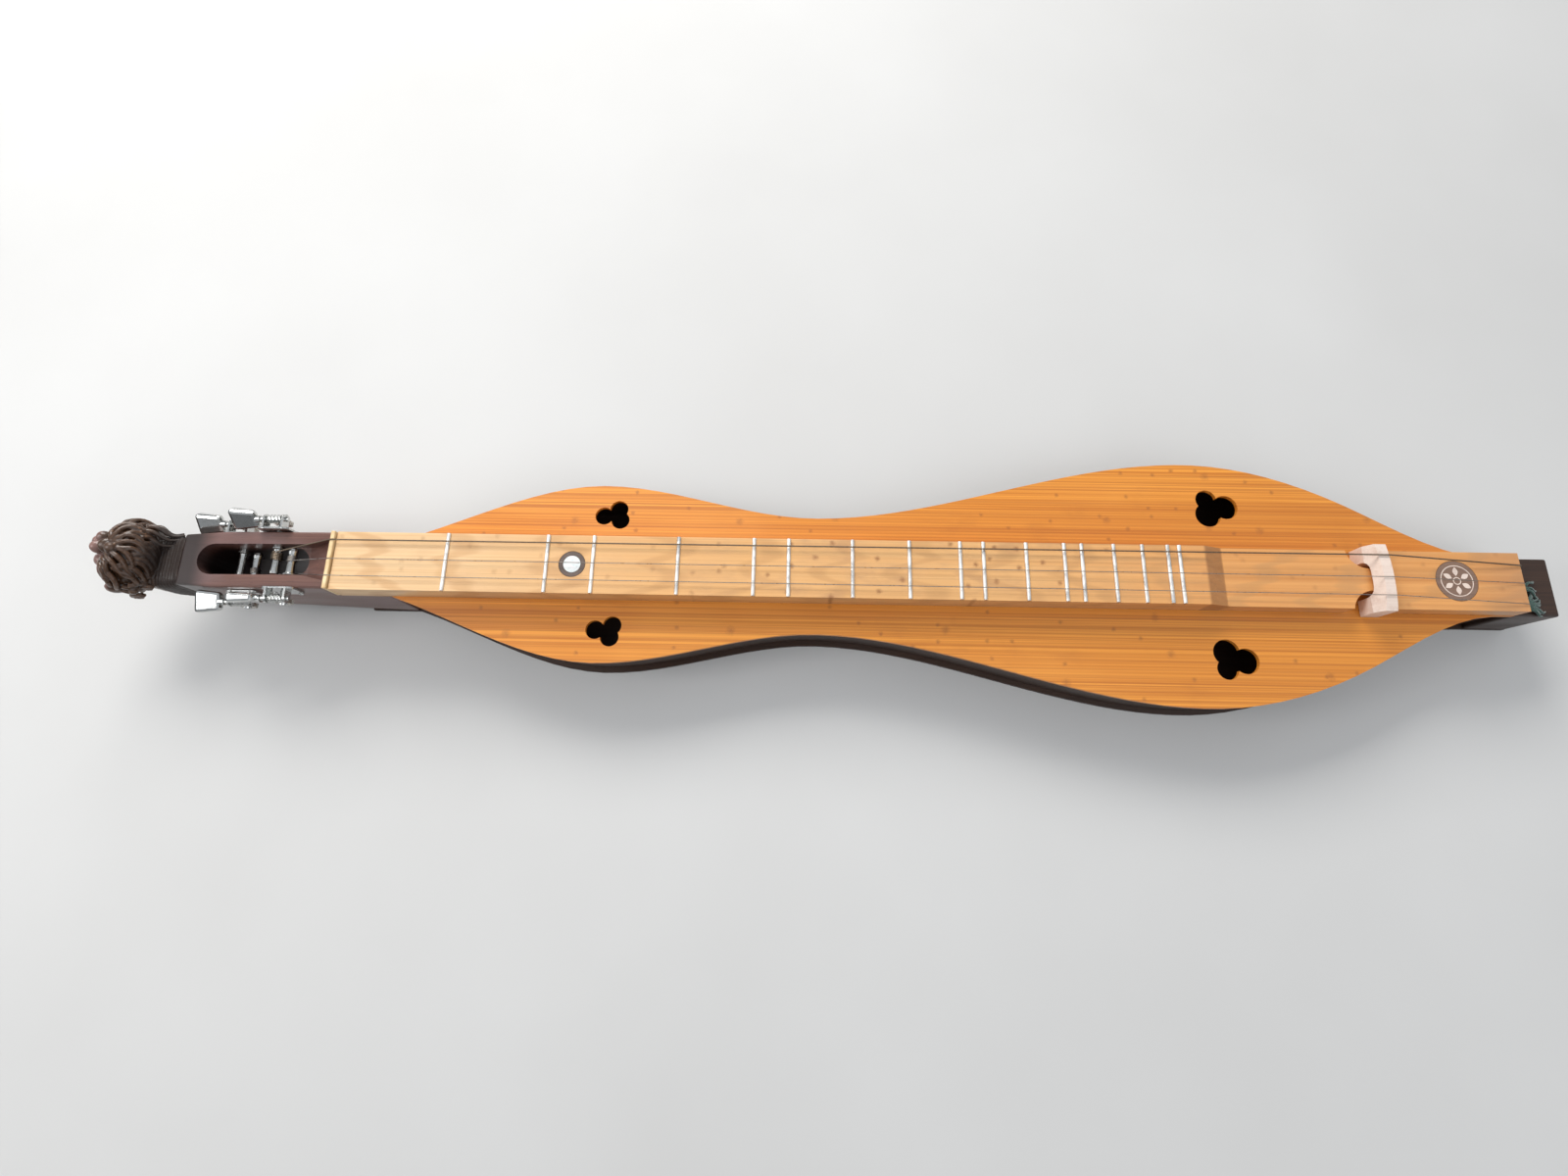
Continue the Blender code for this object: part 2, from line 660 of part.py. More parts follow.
def make_hitch_pins(steel):
    profile = [(0.0, 0.0040), (0.0012, 0.0038), (0.0018, 0.0031), (0.0010, 0.0026), (0.0010, -0.0052),
               (0.0, -0.0056)]
    mesh = turned_mesh(profile, 14)
    for index, y in enumerate(hitch_places(), 1):
        pin = bpy.data.objects.new(f"hitch_pin_{index}", mesh)
        pin.location = (from_nut(HITCH_X), y, BODY_TOP)
        Shop.parts.objects.link(pin)
    mesh.materials.append(steel)


# ---- tuners -------------------------------------------------------------------------
def worm_mesh():
    """Threaded sleeve along X: a right-hand thread raised on a plain cylinder."""
    steps = 8
    half = WORM_TURNS * WORM_LEAD / 2
    bm = bmesh.new()
    bmesh.ops.create_cone(bm, cap_ends=True, segments=12, radius1=WORM_ROOT, radius2=WORM_ROOT,
                          depth=2 * half, matrix=Matrix.Rotation(math.radians(90), 4, "Y"))
    long_edges = [edge for edge in bm.edges if abs(edge.verts[0].co.x - edge.verts[1].co.x) > half]
    bmesh.ops.subdivide_edges(bm, edges=long_edges, cuts=WORM_TURNS * steps - 1, use_grid_fill=True)
    for vert in bm.verts:
        x, y, z = vert.co
        phase = (x / WORM_LEAD - (math.atan2(z, y) - math.pi / 2) / (2 * math.pi)) % 1.0
        from_crest = min(phase, 1.0 - phase) * WORM_LEAD
        height = max(0.0, min(1.0, (0.00058 - from_crest) / 0.00028))
        fade = min(1.0, (half - abs(x)) * steps / WORM_LEAD)
        stretch = (WORM_ROOT + (WORM_TIP - WORM_ROOT) * height * fade) / math.hypot(y, z)
        vert.co = (x, y * stretch, z * stretch)
    return mesh_from(bm)


def gear_mesh():
    """Toothed wheel on the Y axis with a tooth straight up and a bore for the post."""
    loop = []
    pitch = 360.0 / GEAR_TEETH
    tip_half = math.degrees(0.00030 / GEAR_TIP)
    root_half = math.degrees(0.00050 / GEAR_ROOT)
    for tooth in range(GEAR_TEETH):
        middle = 90.0 + pitch * tooth
        for radius, offset in ((GEAR_ROOT, -root_half), (GEAR_TIP, -tip_half),
                               (GEAR_TIP, tip_half), (GEAR_ROOT, root_half)):
            angle = math.radians(middle + offset)
            loop.append((radius * math.cos(angle), radius * math.sin(angle)))
    bore = arc((0, 0), GEAR_BORE, 0, 330, 11)
    mesh = outline_mesh([loop, bore], -GEAR_WIDTH / 2, GEAR_WIDTH / 2)
    mesh.transform(Matrix.Rotation(math.radians(90), 4, "X"))
    return mesh


def post_profile():
    """Turned string post from its outer end (top) to the tip inside the pegbox."""
    bearing = POST_BORE - GAP
    stub = GEAR_BORE - GAP
    gear_outer = GEAR_PLANE + GEAR_WIDTH / 2
    gear_inner = GEAR_PLANE - GEAR_WIDTH / 2
    return [
        (0.0, gear_outer + 0.0016), (0.0022, gear_outer + 0.0014), (0.0025, gear_outer + GAP),
        (stub, gear_outer + GAP), (stub, gear_inner - GAP),
        (bearing, gear_inner - GAP), (bearing, 0.0098),
        (0.0037, 0.0094), (0.0037, 0.0085), (0.0028, 0.0080),
        (0.0025, 0.0060), (0.0023, 0.0), (0.0025, -0.0050),
        (0.0028, -0.0070), (0.0026, -0.0086), (0.0016, -0.0093), (0.0, -0.0095),
    ]


def make_post(number, side, place, nickel):
    mesh = turned_mesh(post_profile(), 16)
    mesh.transform(Matrix.Rotation(math.radians(-90 * side), 4, "X"))
    add_part(f"tuner_post_{number}", mesh, nickel, place)


def make_plate(number, side, place, nickel):
    """Flat plate on the cheek with two round-ended ears that carry the worm."""
    outer = PLATE_INNER + PLATE_THICKNESS
    low_x, low_z, high_x, high_z = PLATE_CORNERS
    outline = []
    for x, z, start in ((high_x, high_z, 0), (low_x, high_z, 90), (low_x, low_z, 180), (high_x, low_z, 270)):
        outline += arc((x, z), PLATE_ROUNDING, start, start + 90, 5)
    mesh = side_profile_mesh(outline, PLATE_THICKNESS / 2)
    mesh.transform(Matrix.Translation((0, side * (PLATE_INNER + PLATE_THICKNESS / 2), 0)))
    plate = add_part(f"tuner_plate_{number}", mesh, nickel, place)

    root = PLATE_INNER + EAR_ROOT
    tip = arc((GEAR_PLANE, WORM_OFFSET), EAR_RADIUS, -90, 90, 12)
    tab = [(root, WORM_OFFSET - EAR_RADIUS)] + tip + [(root, WORM_OFFSET + EAR_RADIUS)]
    for label, x in (("head", -EAR_X), ("tail", EAR_X)):
        loop = [(side * y, z) for y, z in tab]
        ear = outline_mesh([loop], x - EAR_THICKNESS / 2, x + EAR_THICKNESS / 2)
        ear.transform(Matrix(((0, 0, 1, 0), (1, 0, 0, 0), (0, 1, 0, 0), (0, 0, 0, 1))))
        boolean(plate, add_cutter(f"plate_{number}_{label}_ear", ear, place), "UNION")
    shaft = rod_mesh(SHAFT_RADIUS + GAP, (-PLATE_REACH, side * GEAR_PLANE, WORM_OFFSET),
                     (PLATE_REACH, side * GEAR_PLANE, WORM_OFFSET), 16)
    boolean(plate, add_cutter(f"plate_{number}_shaft_bore", shaft, place))
    post = rod_mesh(POST_BORE, (0, side * (PLATE_INNER - BORE_OVERCUT), 0),
                    (0, side * (outer + BORE_OVERCUT), 0), 20)
    boolean(plate, add_cutter(f"plate_{number}_post_bore", post, place))


def make_worm(number, place, nickel):
    worm = add_part(f"tuner_worm_{number}", worm_mesh(), nickel, place)
    shaft = rod_mesh(SHAFT_RADIUS, (-BUTTON_START + GAP, 0, 0), (EAR_X + 0.0022, 0, 0), 16)
    boolean(worm, add_cutter(f"worm_{number}_shaft", shaft, place), "UNION")


def make_button(number, place, nickel):
    """Flat faceted knob, wider at its free end."""
    blade = BUTTON_LENGTH - BUTTON_BEVEL
    middle = -BUTTON_START - BUTTON_BEVEL - blade / 2
    size = Matrix.Diagonal((blade, BUTTON_THICKNESS, BUTTON_WIDTH, 1.0))
    bm = bmesh.new()
    bmesh.ops.create_cube(bm, size=1.0, matrix=Matrix.Translation((middle, 0, 0)) @ size)
    for vert in bm.verts:
        if vert.co.x > middle:
            vert.co.y *= 0.70
            vert.co.z *= 0.78
    mesh = mesh_from(bm)
    mesh.transform(Matrix.Rotation(math.radians(BUTTON_TURNS[number - 1]), 4, "X"))
    button = add_part(f"tuner_button_{number}", mesh, nickel, place)
    bevel(button, BUTTON_BEVEL, 2, 30.0)
    neck = rod_mesh(BUTTON_NECK, (-BUTTON_START - 2 * BUTTON_BEVEL, 0, 0), (-BUTTON_START, 0, 0), 16)
    boolean(button, add_cutter(f"button_{number}_neck", neck, place), "UNION")


def make_tuners(nickel):
    for number, side, x, z in TUNERS:
        post_axis = (from_nut(x), 0, z)
        knob_axis = (from_nut(x), side * GEAR_PLANE, z + WORM_OFFSET)
        make_plate(number, side, post_axis, nickel)
        make_post(number, side, post_axis, nickel)
        add_part(f"tuner_gear_{number}", gear_mesh(), nickel, (from_nut(x), side * GEAR_PLANE, z))
        make_worm(number, knob_axis, nickel)
        make_button(number, knob_axis, nickel)


def shade_round_pieces():
    for obj in Shop.parts.objects:
        obj.data.shade_smooth()
        obj.data.set_sharp_from_angle(angle=math.radians(SHARP_ANGLE))


def build():
    clear_scene()
    Shop.parts = new_collection(COLLECTION)
    Shop.cutters = new_collection("cutters")
    walnut = finish_of("walnut", WALNUT, 0.35)
    cedar = finish_of("cedar", CEDAR, 0.45)
    honey = finish_of("honey_wood", HONEY, 0.42)
    pale = finish_of("pale_wood", PALE_WOOD, 0.40)
    grey = finish_of("grey_wood", GREY_WOOD, 0.45)
    pearl = finish_of("pearl", PEARL, 0.15)
    nickel = finish_of("nickel", NICKEL, 0.18, 1.0)
    steel = finish_of("steel", STEEL, 0.30, 1.0)

    make_boards(cedar, walnut)
    make_ribs(walnut)
    make_braces(cedar)
    make_tail_block(walnut)
    make_pegbox(walnut)
    make_lion_scroll(walnut)
    make_fretboard(honey)
    make_frets(nickel)
    make_inlays(pearl, grey)
    make_nut(pale)
    make_bridge(pale)
    make_strings(steel)
    make_hitch_pins(steel)
    make_tuners(nickel)
    shade_round_pieces()


build()
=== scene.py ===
"""Looks of the mountain dulcimer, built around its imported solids.

Places in the tables below are in metres along the instrument from the string side of the nut,
as in the part, and become frame places through from_nut. Heights are above the flat back.
"""

import json
import math
import random

import bmesh
import bpy
import numpy as np
from mathutils import Matrix, Vector, noise


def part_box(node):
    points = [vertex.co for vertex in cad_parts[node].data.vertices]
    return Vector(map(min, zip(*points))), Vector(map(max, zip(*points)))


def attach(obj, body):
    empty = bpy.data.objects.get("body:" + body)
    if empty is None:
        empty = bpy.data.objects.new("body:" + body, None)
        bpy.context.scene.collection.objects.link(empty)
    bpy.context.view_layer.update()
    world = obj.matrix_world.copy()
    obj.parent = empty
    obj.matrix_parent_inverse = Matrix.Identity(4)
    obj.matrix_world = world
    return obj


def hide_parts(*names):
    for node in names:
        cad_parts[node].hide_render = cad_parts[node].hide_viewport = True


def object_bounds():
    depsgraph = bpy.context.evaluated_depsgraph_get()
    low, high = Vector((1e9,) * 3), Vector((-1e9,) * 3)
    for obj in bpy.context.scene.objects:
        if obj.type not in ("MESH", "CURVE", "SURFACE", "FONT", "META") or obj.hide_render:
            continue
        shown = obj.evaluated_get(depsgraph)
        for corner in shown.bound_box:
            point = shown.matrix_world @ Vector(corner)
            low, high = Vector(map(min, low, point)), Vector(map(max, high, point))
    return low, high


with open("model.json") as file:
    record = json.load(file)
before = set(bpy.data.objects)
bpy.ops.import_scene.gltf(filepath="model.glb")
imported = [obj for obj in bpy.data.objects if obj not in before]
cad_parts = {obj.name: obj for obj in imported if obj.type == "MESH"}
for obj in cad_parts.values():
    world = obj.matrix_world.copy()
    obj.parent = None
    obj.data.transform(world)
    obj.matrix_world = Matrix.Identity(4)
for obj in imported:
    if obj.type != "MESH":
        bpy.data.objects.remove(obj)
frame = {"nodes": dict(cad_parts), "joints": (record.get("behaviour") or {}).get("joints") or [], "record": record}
cad_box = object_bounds()
NODES = frame["nodes"]
JOINTS = {joint["name"]: joint for joint in frame["joints"]}
NUT_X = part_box("nut")[1].x
BODY = "body"

# ---- camera and light ---------------------------------------------------------------
CAMERA_PLACE = (0.3042, -0.1436, 0.5401)
CAMERA_LENS = 17.506
CAMERA_PITCH = 74.84
CAMERA_YAW = 2.447
CAMERA_ROLL = 1.388

# Name, place, aim, size, power and colour of each lamp.
LAMPS = (
    ("window", (-0.55, 1.45, 1.15), (0, 0, 0.03), (1.3, 0.8), 35.0, (1.0, 0.985, 0.955)),
    ("fill", (0.9, -0.9, 1.5), (0, 0, 0.03), (1.4, 1.4), 8.0, (0.94, 0.97, 1.0)),
    ("head_glint", (-0.95, -0.1, 0.75), (-0.45, 0, 0.05), (0.3, 0.6), 3.0, (1, 1, 1)),
)
SKY_COLOUR = (0.93, 0.96, 1.0, 1.0)
SKY_RISE = (("From Min", 0.0), ("From Max", 0.75), ("To Min", 0.07), ("To Max", 0.55))
FLOOR_SIZE = 30.0


def from_nut(distance):
    """Frame X of a distance from the nut toward the tail."""
    return NUT_X + distance


def make_camera():
    """A wide lens held close over the player's side of the instrument."""
    pitch = math.radians(CAMERA_PITCH)
    turn = Matrix.Rotation(math.radians(CAMERA_YAW), 3, "Z")
    forward = turn @ Vector((0, math.cos(pitch), -math.sin(pitch)))
    level = turn @ Vector((1, 0, 0))
    down = turn @ Vector((0, -math.sin(pitch), -math.cos(pitch)))
    roll = math.radians(CAMERA_ROLL)
    right = level * math.cos(roll) + down * math.sin(roll)
    down = down * math.cos(roll) - level * math.sin(roll)
    data = bpy.data.cameras.new("camera")
    data.lens = CAMERA_LENS
    data.clip_start = 0.01
    camera = bpy.data.objects.new("camera", data)
    bpy.context.scene.collection.objects.link(camera)
    axes = Matrix((right, -down, -forward)).transposed().to_4x4()
    x, y, z = CAMERA_PLACE
    camera.matrix_world = Matrix.Translation((from_nut(x), y, z)) @ axes
    bpy.context.scene.camera = camera


def add_area_light(name, place, target, size, power, colour):
    data = bpy.data.lights.new(name, "AREA")
    data.shape = "RECTANGLE"
    data.size, data.size_y = size
    data.energy = power
    data.color = colour
    light = bpy.data.objects.new(name, data)
    bpy.context.scene.collection.objects.link(light)
    light.location = place
    light.rotation_euler = (Vector(target) - Vector(place)).to_track_quat("-Z", "Y").to_euler()


def make_lights():
    """Soft studio light, strongest from the far side, under a sky that darkens to the horizon."""
    world = bpy.data.worlds.new("studio")
    bpy.context.scene.world = world
    world.use_nodes = True
    tree = world.node_tree
    place = tree.nodes.new("ShaderNodeTexCoord")
    split = tree.nodes.new("ShaderNodeSeparateXYZ")
    height = tree.nodes.new("ShaderNodeMapRange")
    for key, value in SKY_RISE:
        height.inputs[key].default_value = value
    background = tree.nodes["Background"]
    background.inputs["Color"].default_value = SKY_COLOUR
    tree.links.new(place.outputs["Generated"], split.inputs["Vector"])
    tree.links.new(split.outputs["Z"], height.inputs["Value"])
    tree.links.new(height.outputs["Result"], background.inputs["Strength"])
    for lamp in LAMPS:
        add_area_light(*lamp)
    bpy.context.scene.view_settings.view_transform = "Standard"


def make_floor():
    bpy.ops.mesh.primitive_plane_add(size=FLOOR_SIZE, location=(0, 0, cad_box[0].z))
    floor = bpy.context.object
    floor.name = "floor"
    floor.data.materials.append(plain_floor())


# ---- node helpers -------------------------------------------------------------------
class Surface:
    """A Principled material and short ways to add nodes to it."""

    def __init__(self, name, roughness=0.5, metallic=0.0, coat=0.0, coat_roughness=0.1):
        self.material = bpy.data.materials.new(name)
        self.material.use_nodes = True
        self.tree = self.material.node_tree
        self.shader = self.tree.nodes["Principled BSDF"]
        self.shader.inputs["Roughness"].default_value = roughness
        self.shader.inputs["Metallic"].default_value = metallic
        self.shader.inputs["Coat Weight"].default_value = coat
        self.shader.inputs["Coat Roughness"].default_value = coat_roughness
        self.place = self.node("ShaderNodeTexCoord").outputs["Object"]

    def node(self, kind, **values):
        made = self.tree.nodes.new(kind)
        for key, value in values.items():
            setattr(made, key, value)
        return made

    def link(self, source, target):
        self.tree.links.new(source, target)

    def stretched(self, scale, place=(0, 0, 0), turn=(0, 0, 0)):
        mapping = self.node("ShaderNodeMapping")
        mapping.inputs["Scale"].default_value = scale
        mapping.inputs["Location"].default_value = place
        mapping.inputs["Rotation"].default_value = turn
        self.link(self.place, mapping.inputs["Vector"])
        return mapping.outputs["Vector"]

    def noise(self, scale, detail=3.0, rough=0.5, place=(0, 0, 0), distortion=0.0):
        """Noise whose scale is given along X, Y and Z."""
        made = self.node("ShaderNodeTexNoise")
        made.inputs["Scale"].default_value = 1.0
        made.inputs["Detail"].default_value = detail
        made.inputs["Roughness"].default_value = rough
        made.inputs["Distortion"].default_value = distortion
        self.link(self.stretched(scale, place), made.inputs["Vector"])
        return made.outputs["Fac"]

    def ramp(self, source, stops, smooth=False):
        made = self.node("ShaderNodeValToRGB")
        if smooth:
            made.color_ramp.interpolation = "EASE"
        elements = made.color_ramp.elements
        while len(elements) < len(stops):
            elements.new(0.5)
        for element, (position, colour) in zip(elements, stops):
            element.position = position
            element.color = grey(colour) if isinstance(colour, float) else (*colour, 1.0)
        self.link(source, made.inputs["Fac"])
        return made.outputs["Color"]

    def math(self, operation, first, second):
        made = self.node("ShaderNodeMath", operation=operation)
        for socket, value in zip(made.inputs, (first, second)):
            self.feed(socket, value)
        return made.outputs["Value"]

    def feed(self, socket, value):
        if isinstance(value, bpy.types.NodeSocket):
            self.link(value, socket)
        else:
            socket.default_value = value

    def mix(self, factor, first, second, blend="MIX"):
        made = self.node("ShaderNodeMix", data_type="RGBA", blend_type=blend)
        self.feed(made.inputs["Factor"], factor)
        self.feed(made.inputs[6], first if isinstance(first, bpy.types.NodeSocket) else (*first, 1.0))
        self.feed(made.inputs[7], second if isinstance(second, bpy.types.NodeSocket) else (*second, 1.0))
        return made.outputs[2]

    def axis(self, name):
        made = self.node("ShaderNodeSeparateXYZ")
        self.link(self.place, made.inputs["Vector"])
        return made.outputs[name]

    def span(self, source, low, high, to_low=0.0, to_high=1.0):
        made = self.node("ShaderNodeMapRange", interpolation_type="SMOOTHSTEP")
        self.link(source, made.inputs["Value"])
        limits = {"From Min": low, "From Max": high, "To Min": to_low, "To Max": to_high}
        for key, value in limits.items():
            made.inputs[key].default_value = value
        return made.outputs["Result"]

    def colour(self, source):
        self.link(source, self.shader.inputs["Base Color"])

    def roughness(self, source, low, high):
        self.link(self.span(source, 0.3, 0.7, low, high), self.shader.inputs["Roughness"])

    def bump(self, height, distance, strength=1.0):
        """Adds a bump on top of what is already there."""
        made = self.node("ShaderNodeBump")
        made.inputs["Distance"].default_value = distance
        made.inputs["Strength"].default_value = strength
        self.link(height, made.inputs["Height"])
        normal = self.shader.inputs["Normal"]
        if normal.is_linked:
            self.link(normal.links[0].from_socket, made.inputs["Normal"])
        self.link(made.outputs["Normal"], normal)


def grey(value):
    return (value, value, value, 1.0)


# ---- wood ---------------------------------------------------------------------------
# Brown flecks in the soundboard: spacing, radius, share of cells that hold one, depth.
FLECKS = ((0.0170, 0.0020, 0.36, 0.62), (0.036, 0.0036, 0.36, 0.52))


def spots(surface, spacing, size, share):
    """1 on a few small irregular spots and 0 elsewhere; share is how many cells hold one."""
    made = surface.node("ShaderNodeTexVoronoi", voronoi_dimensions="2D")
    made.inputs["Scale"].default_value = 1.0 / spacing
    made.inputs["Randomness"].default_value = 1.0
    surface.link(surface.stretched((1, 1, 1)), made.inputs["Vector"])
    chosen = surface.node("ShaderNodeSeparateColor")
    surface.link(made.outputs["Color"], chosen.inputs["Color"])
    wobble = surface.noise((520, 620, 620), 3.0)
    reach = size / spacing
    ragged = surface.math("MULTIPLY", wobble, reach * 1.1)
    distance = surface.math("ADD", made.outputs["Distance"], ragged)
    round_spot = surface.span(distance, reach * 0.5, reach * 1.7, 1.0, 0.0)
    picked = surface.math("LESS_THAN", chosen.outputs["Red"], share)
    return surface.math("MULTIPLY", round_spot, picked)


def grained(surface, spacing, wander, contrast, light, dark):
    """Straight grain along X: growth lines spacing metres apart that wander slowly sideways.

    Gives the colour, the fine grain and the growth lines.
    """
    drift = surface.noise((2.2, 9, 9), 2.0)
    lines = surface.noise((1.2, 1.0 / spacing, 1.0 / spacing), 3.0, 0.55, distortion=wander)
    fine = surface.noise((14, 2600, 2600), 2.0)
    broad = surface.math("MULTIPLY", lines, 0.75)
    mixed = surface.math("ADD", broad, surface.math("MULTIPLY", fine, 0.25))
    wander_tone = surface.math("MULTIPLY", surface.math("SUBTRACT", drift, 0.5), 0.2)
    mixed = surface.math("ADD", mixed, wander_tone)
    return surface.ramp(mixed, ((0.5 - contrast, dark), (0.5 + contrast, light))), fine, lines


def soundboard_wood():
    """Varnished cedar: close straight grain, broad warm streaks and scattered brown flecks."""
    s = Surface("soundboard_cedar", 0.4, coat=0.2, coat_roughness=0.25)
    base, fine, lines = grained(s, 0.0017, 0.35, 0.12, (0.87, 0.345, 0.046), (0.56, 0.175, 0.017))
    streaks = s.noise((1.6, 42, 42), 3.0, place=(3, 5, 1))
    base = s.mix(s.span(streaks, 0.42, 0.68, 0.0, 0.5), base, (0.62, 0.215, 0.026))
    cloud = s.noise((7, 12, 12), 3.0, place=(9, 2, 4))
    base = s.mix(s.span(cloud, 0.5, 0.8, 0.0, 0.35), base, (0.91, 0.40, 0.070))
    stain = s.noise((16, 30, 30), 4.0, 0.6, place=(5, 1, 7))
    base = s.mix(s.span(stain, 0.56, 0.80, 0.0, 0.35), base, (0.40, 0.125, 0.02))
    close = s.noise((1.6, 760, 760), 2.0, place=(2, 4, 6))
    base = s.mix(s.span(close, 0.48, 0.68, 0.0, 0.5), base, (0.42, 0.125, 0.018))
    for spacing, size, share, depth in FLECKS:
        mark = s.math("MULTIPLY", spots(s, spacing, size, share), depth)
        base = s.mix(mark, base, (0.33, 0.105, 0.022))
    s.colour(base)
    s.roughness(cloud, 0.34, 0.5)
    s.bump(fine, 0.00003, 0.5)
    s.bump(lines, 0.00004, 0.35)
    return s.material


def fretboard_wood():
    """Pale honey maple, worn and greyed by fingers, warmer toward the tail, dark on its slope."""
    s = Surface("fretboard_wood", 0.42, coat=0.10, coat_roughness=0.3)
    pale, fine, _ = grained(s, 0.0030, 0.8, 0.2, (0.86, 0.61, 0.345), (0.74, 0.47, 0.24))
    honey, _, _ = grained(s, 0.0031, 0.8, 0.2, (0.86, 0.505, 0.215), (0.70, 0.365, 0.135))
    warm, _, _ = grained(s, 0.0034, 0.8, 0.2, (0.87, 0.43, 0.145), (0.66, 0.275, 0.078))
    along = s.axis("X")
    base = s.mix(s.span(along, from_nut(0.02), from_nut(0.24)), pale, honey)
    base = s.mix(s.span(along, from_nut(0.42), from_nut(0.62)), base, warm)
    figure = s.node("ShaderNodeTexWave", wave_type="RINGS", rings_direction="Z")
    for key, value in (("Scale", 34.0), ("Distortion", 7.0), ("Detail", 2.0), ("Detail Scale", 0.7)):
        figure.inputs[key].default_value = value
    s.link(s.stretched((0.16, 2.0, 2.0), (-0.9, 0.012, 0)), figure.inputs["Vector"])
    base = s.mix(s.span(figure.outputs["Fac"], 0.70, 1.0, 0.0, 0.42), base, (0.54, 0.28, 0.11))
    close = s.noise((2.4, 620, 620), 3.0, place=(6, 3, 2))
    base = s.mix(s.span(close, 0.52, 0.72, 0.0, 0.5), base, (0.48, 0.25, 0.10))
    grime = s.noise((28, 60, 60), 4.0, 0.6, place=(2, 7, 1))
    handled = s.span(along, from_nut(0.2), from_nut(0.32), 0.35, 1.0)
    handled = s.math("MULTIPLY", handled, s.span(along, from_nut(0.46), from_nut(0.56), 1.0, 0.3))
    worn = s.math("MULTIPLY", s.span(grime, 0.46, 0.78, 0.0, 0.6), handled)
    base = s.mix(worn, base, (0.50, 0.27, 0.13))
    slope_in = s.span(along, from_nut(0.5735), from_nut(0.5755))
    slope_out = s.span(along, from_nut(0.5868), from_nut(0.5888), 1.0, 0.0)
    slope = s.math("MULTIPLY", s.math("MULTIPLY", slope_in, slope_out), 0.62)
    base = s.mix(slope, base, (0.30, 0.125, 0.05))
    end_stain = s.span(along, from_nut(0.735), from_nut(0.785), 0.0, 0.45)
    base = s.mix(end_stain, base, (0.42, 0.22, 0.12))
    marks = s.math("MULTIPLY", spots(s, 0.015, 0.0024, 0.42), handled)
    base = s.mix(s.math("MULTIPLY", marks, 0.8), base, (0.30, 0.12, 0.045))
    s.colour(base)
    s.roughness(grime, 0.32, 0.5)
    s.bump(fine, 0.00003, 0.6)
    return s.material


# The pegbox's slot, darkened below its rim with painted shade.
SLOT_HALF = 0.0112
SLOT_SHADE_BELOW = 0.056


def walnut(name, light, dark, roughness, coat, purple=0.0):
    """Dark open-pored walnut; the pegbox's has a purple haze, with painted shade darkening its head end and its
    slot.
    """
    s = Surface(name, roughness, coat=coat, coat_roughness=0.18)
    base, _, _ = grained(s, 0.0028, 1.2, 0.22, light, dark)
    pores = s.noise((160, 2400, 2400), 2.0, place=(4, 1, 8))
    base = s.mix(s.span(pores, 0.62, 0.72, 0.0, 0.6), base, tuple(0.35 * value for value in dark))
    haze = s.noise((18, 45, 45), 3.0, place=(1, 9, 3))
    base = s.mix(s.span(haze, 0.45, 0.75, 0.0, purple), base, (0.20, 0.125, 0.13))
    if purple:
        # Painted shade: the pegbox darkens nearly to black toward its head end.
        head_end_shade = s.span(s.axis("X"), from_nut(-0.096), from_nut(-0.078), 0.92, 0.0)
        base = s.mix(head_end_shade, base, (0.010, 0.005, 0.004))
        # Painted shade: inside the slot and below its rim the wood darkens nearly to black.
        beside = s.span(s.math("ABSOLUTE", s.axis("Y"), 0.0), SLOT_HALF, SLOT_HALF + 0.0008, 1.0, 0.0)
        below = s.span(s.axis("Z"), SLOT_SHADE_BELOW - 0.012, SLOT_SHADE_BELOW, 0.92, 0.0)
        base = s.mix(s.math("MULTIPLY", beside, below), base, (0.006, 0.003, 0.003))
    s.colour(base)
    s.roughness(haze, roughness - 0.06, roughness + 0.12)
    s.bump(pores, 0.00005, 0.7)
    return s.material


def carved_walnut():
    """Glossy stained carving with painted shade in its grooves and on its neck, reddish brown ridges that are
    partly wear and partly painted highlight, and a face lightened with painted highlight.
    """
    s = Surface("carved_walnut", 0.40, coat=0.16, coat_roughness=0.14)
    base, fine, lines = grained(s, 0.0030, 1.5, 0.25, (0.082, 0.039, 0.019), (0.028, 0.012, 0.006))
    edge = s.node("ShaderNodeNewGeometry").outputs["Pointiness"]
    # Ridges lighten to reddish brown: partly wear and partly painted highlight.
    base = s.mix(s.span(edge, 0.503, 0.56, 0.0, 0.75), base, (0.19, 0.095, 0.048))
    # Painted shade: hollows between the strands darken nearly to black.
    base = s.mix(s.span(edge, 0.43, 0.495, 0.9, 0.0), base, (0.008, 0.0035, 0.0025))
    # Painted highlight: the face is lightened to a pinkish brown.
    face = s.span(s.axis("X"), from_nut(-0.149), from_nut(-0.143), 0.6, 0.0)
    base = s.mix(face, base, (0.34, 0.19, 0.17))
    # Painted shade: the neck is darkened nearly to black.
    neck = s.span(s.axis("X"), from_nut(-0.124), from_nut(-0.118))
    base = s.mix(s.math("MULTIPLY", neck, 0.85), base, (0.008, 0.003, 0.002))
    s.colour(base)
    rough = s.math("ADD", s.span(lines, 0.3, 0.7, 0.26, 0.46), s.math("MULTIPLY", neck, 0.3))
    s.link(rough, s.shader.inputs["Roughness"])
    s.bump(fine, 0.00004, 0.5)
    return s.material


def bare_wood(name, light, dark, smudge, spacing=0.0016):
    """Pale unvarnished wood with soft smudges."""
    s = Surface(name, 0.55)
    base, fine, _ = grained(s, spacing, 1.0, 0.22, light, dark)
    dirt = s.noise((130, 130, 130), 4.0, 0.6)
    base = s.mix(s.span(dirt, 0.48, 0.75, 0.0, 0.6), base, smudge)
    s.colour(base)
    s.roughness(dirt, 0.42, 0.62)
    s.bump(fine, 0.00004, 0.6)
    return s.material


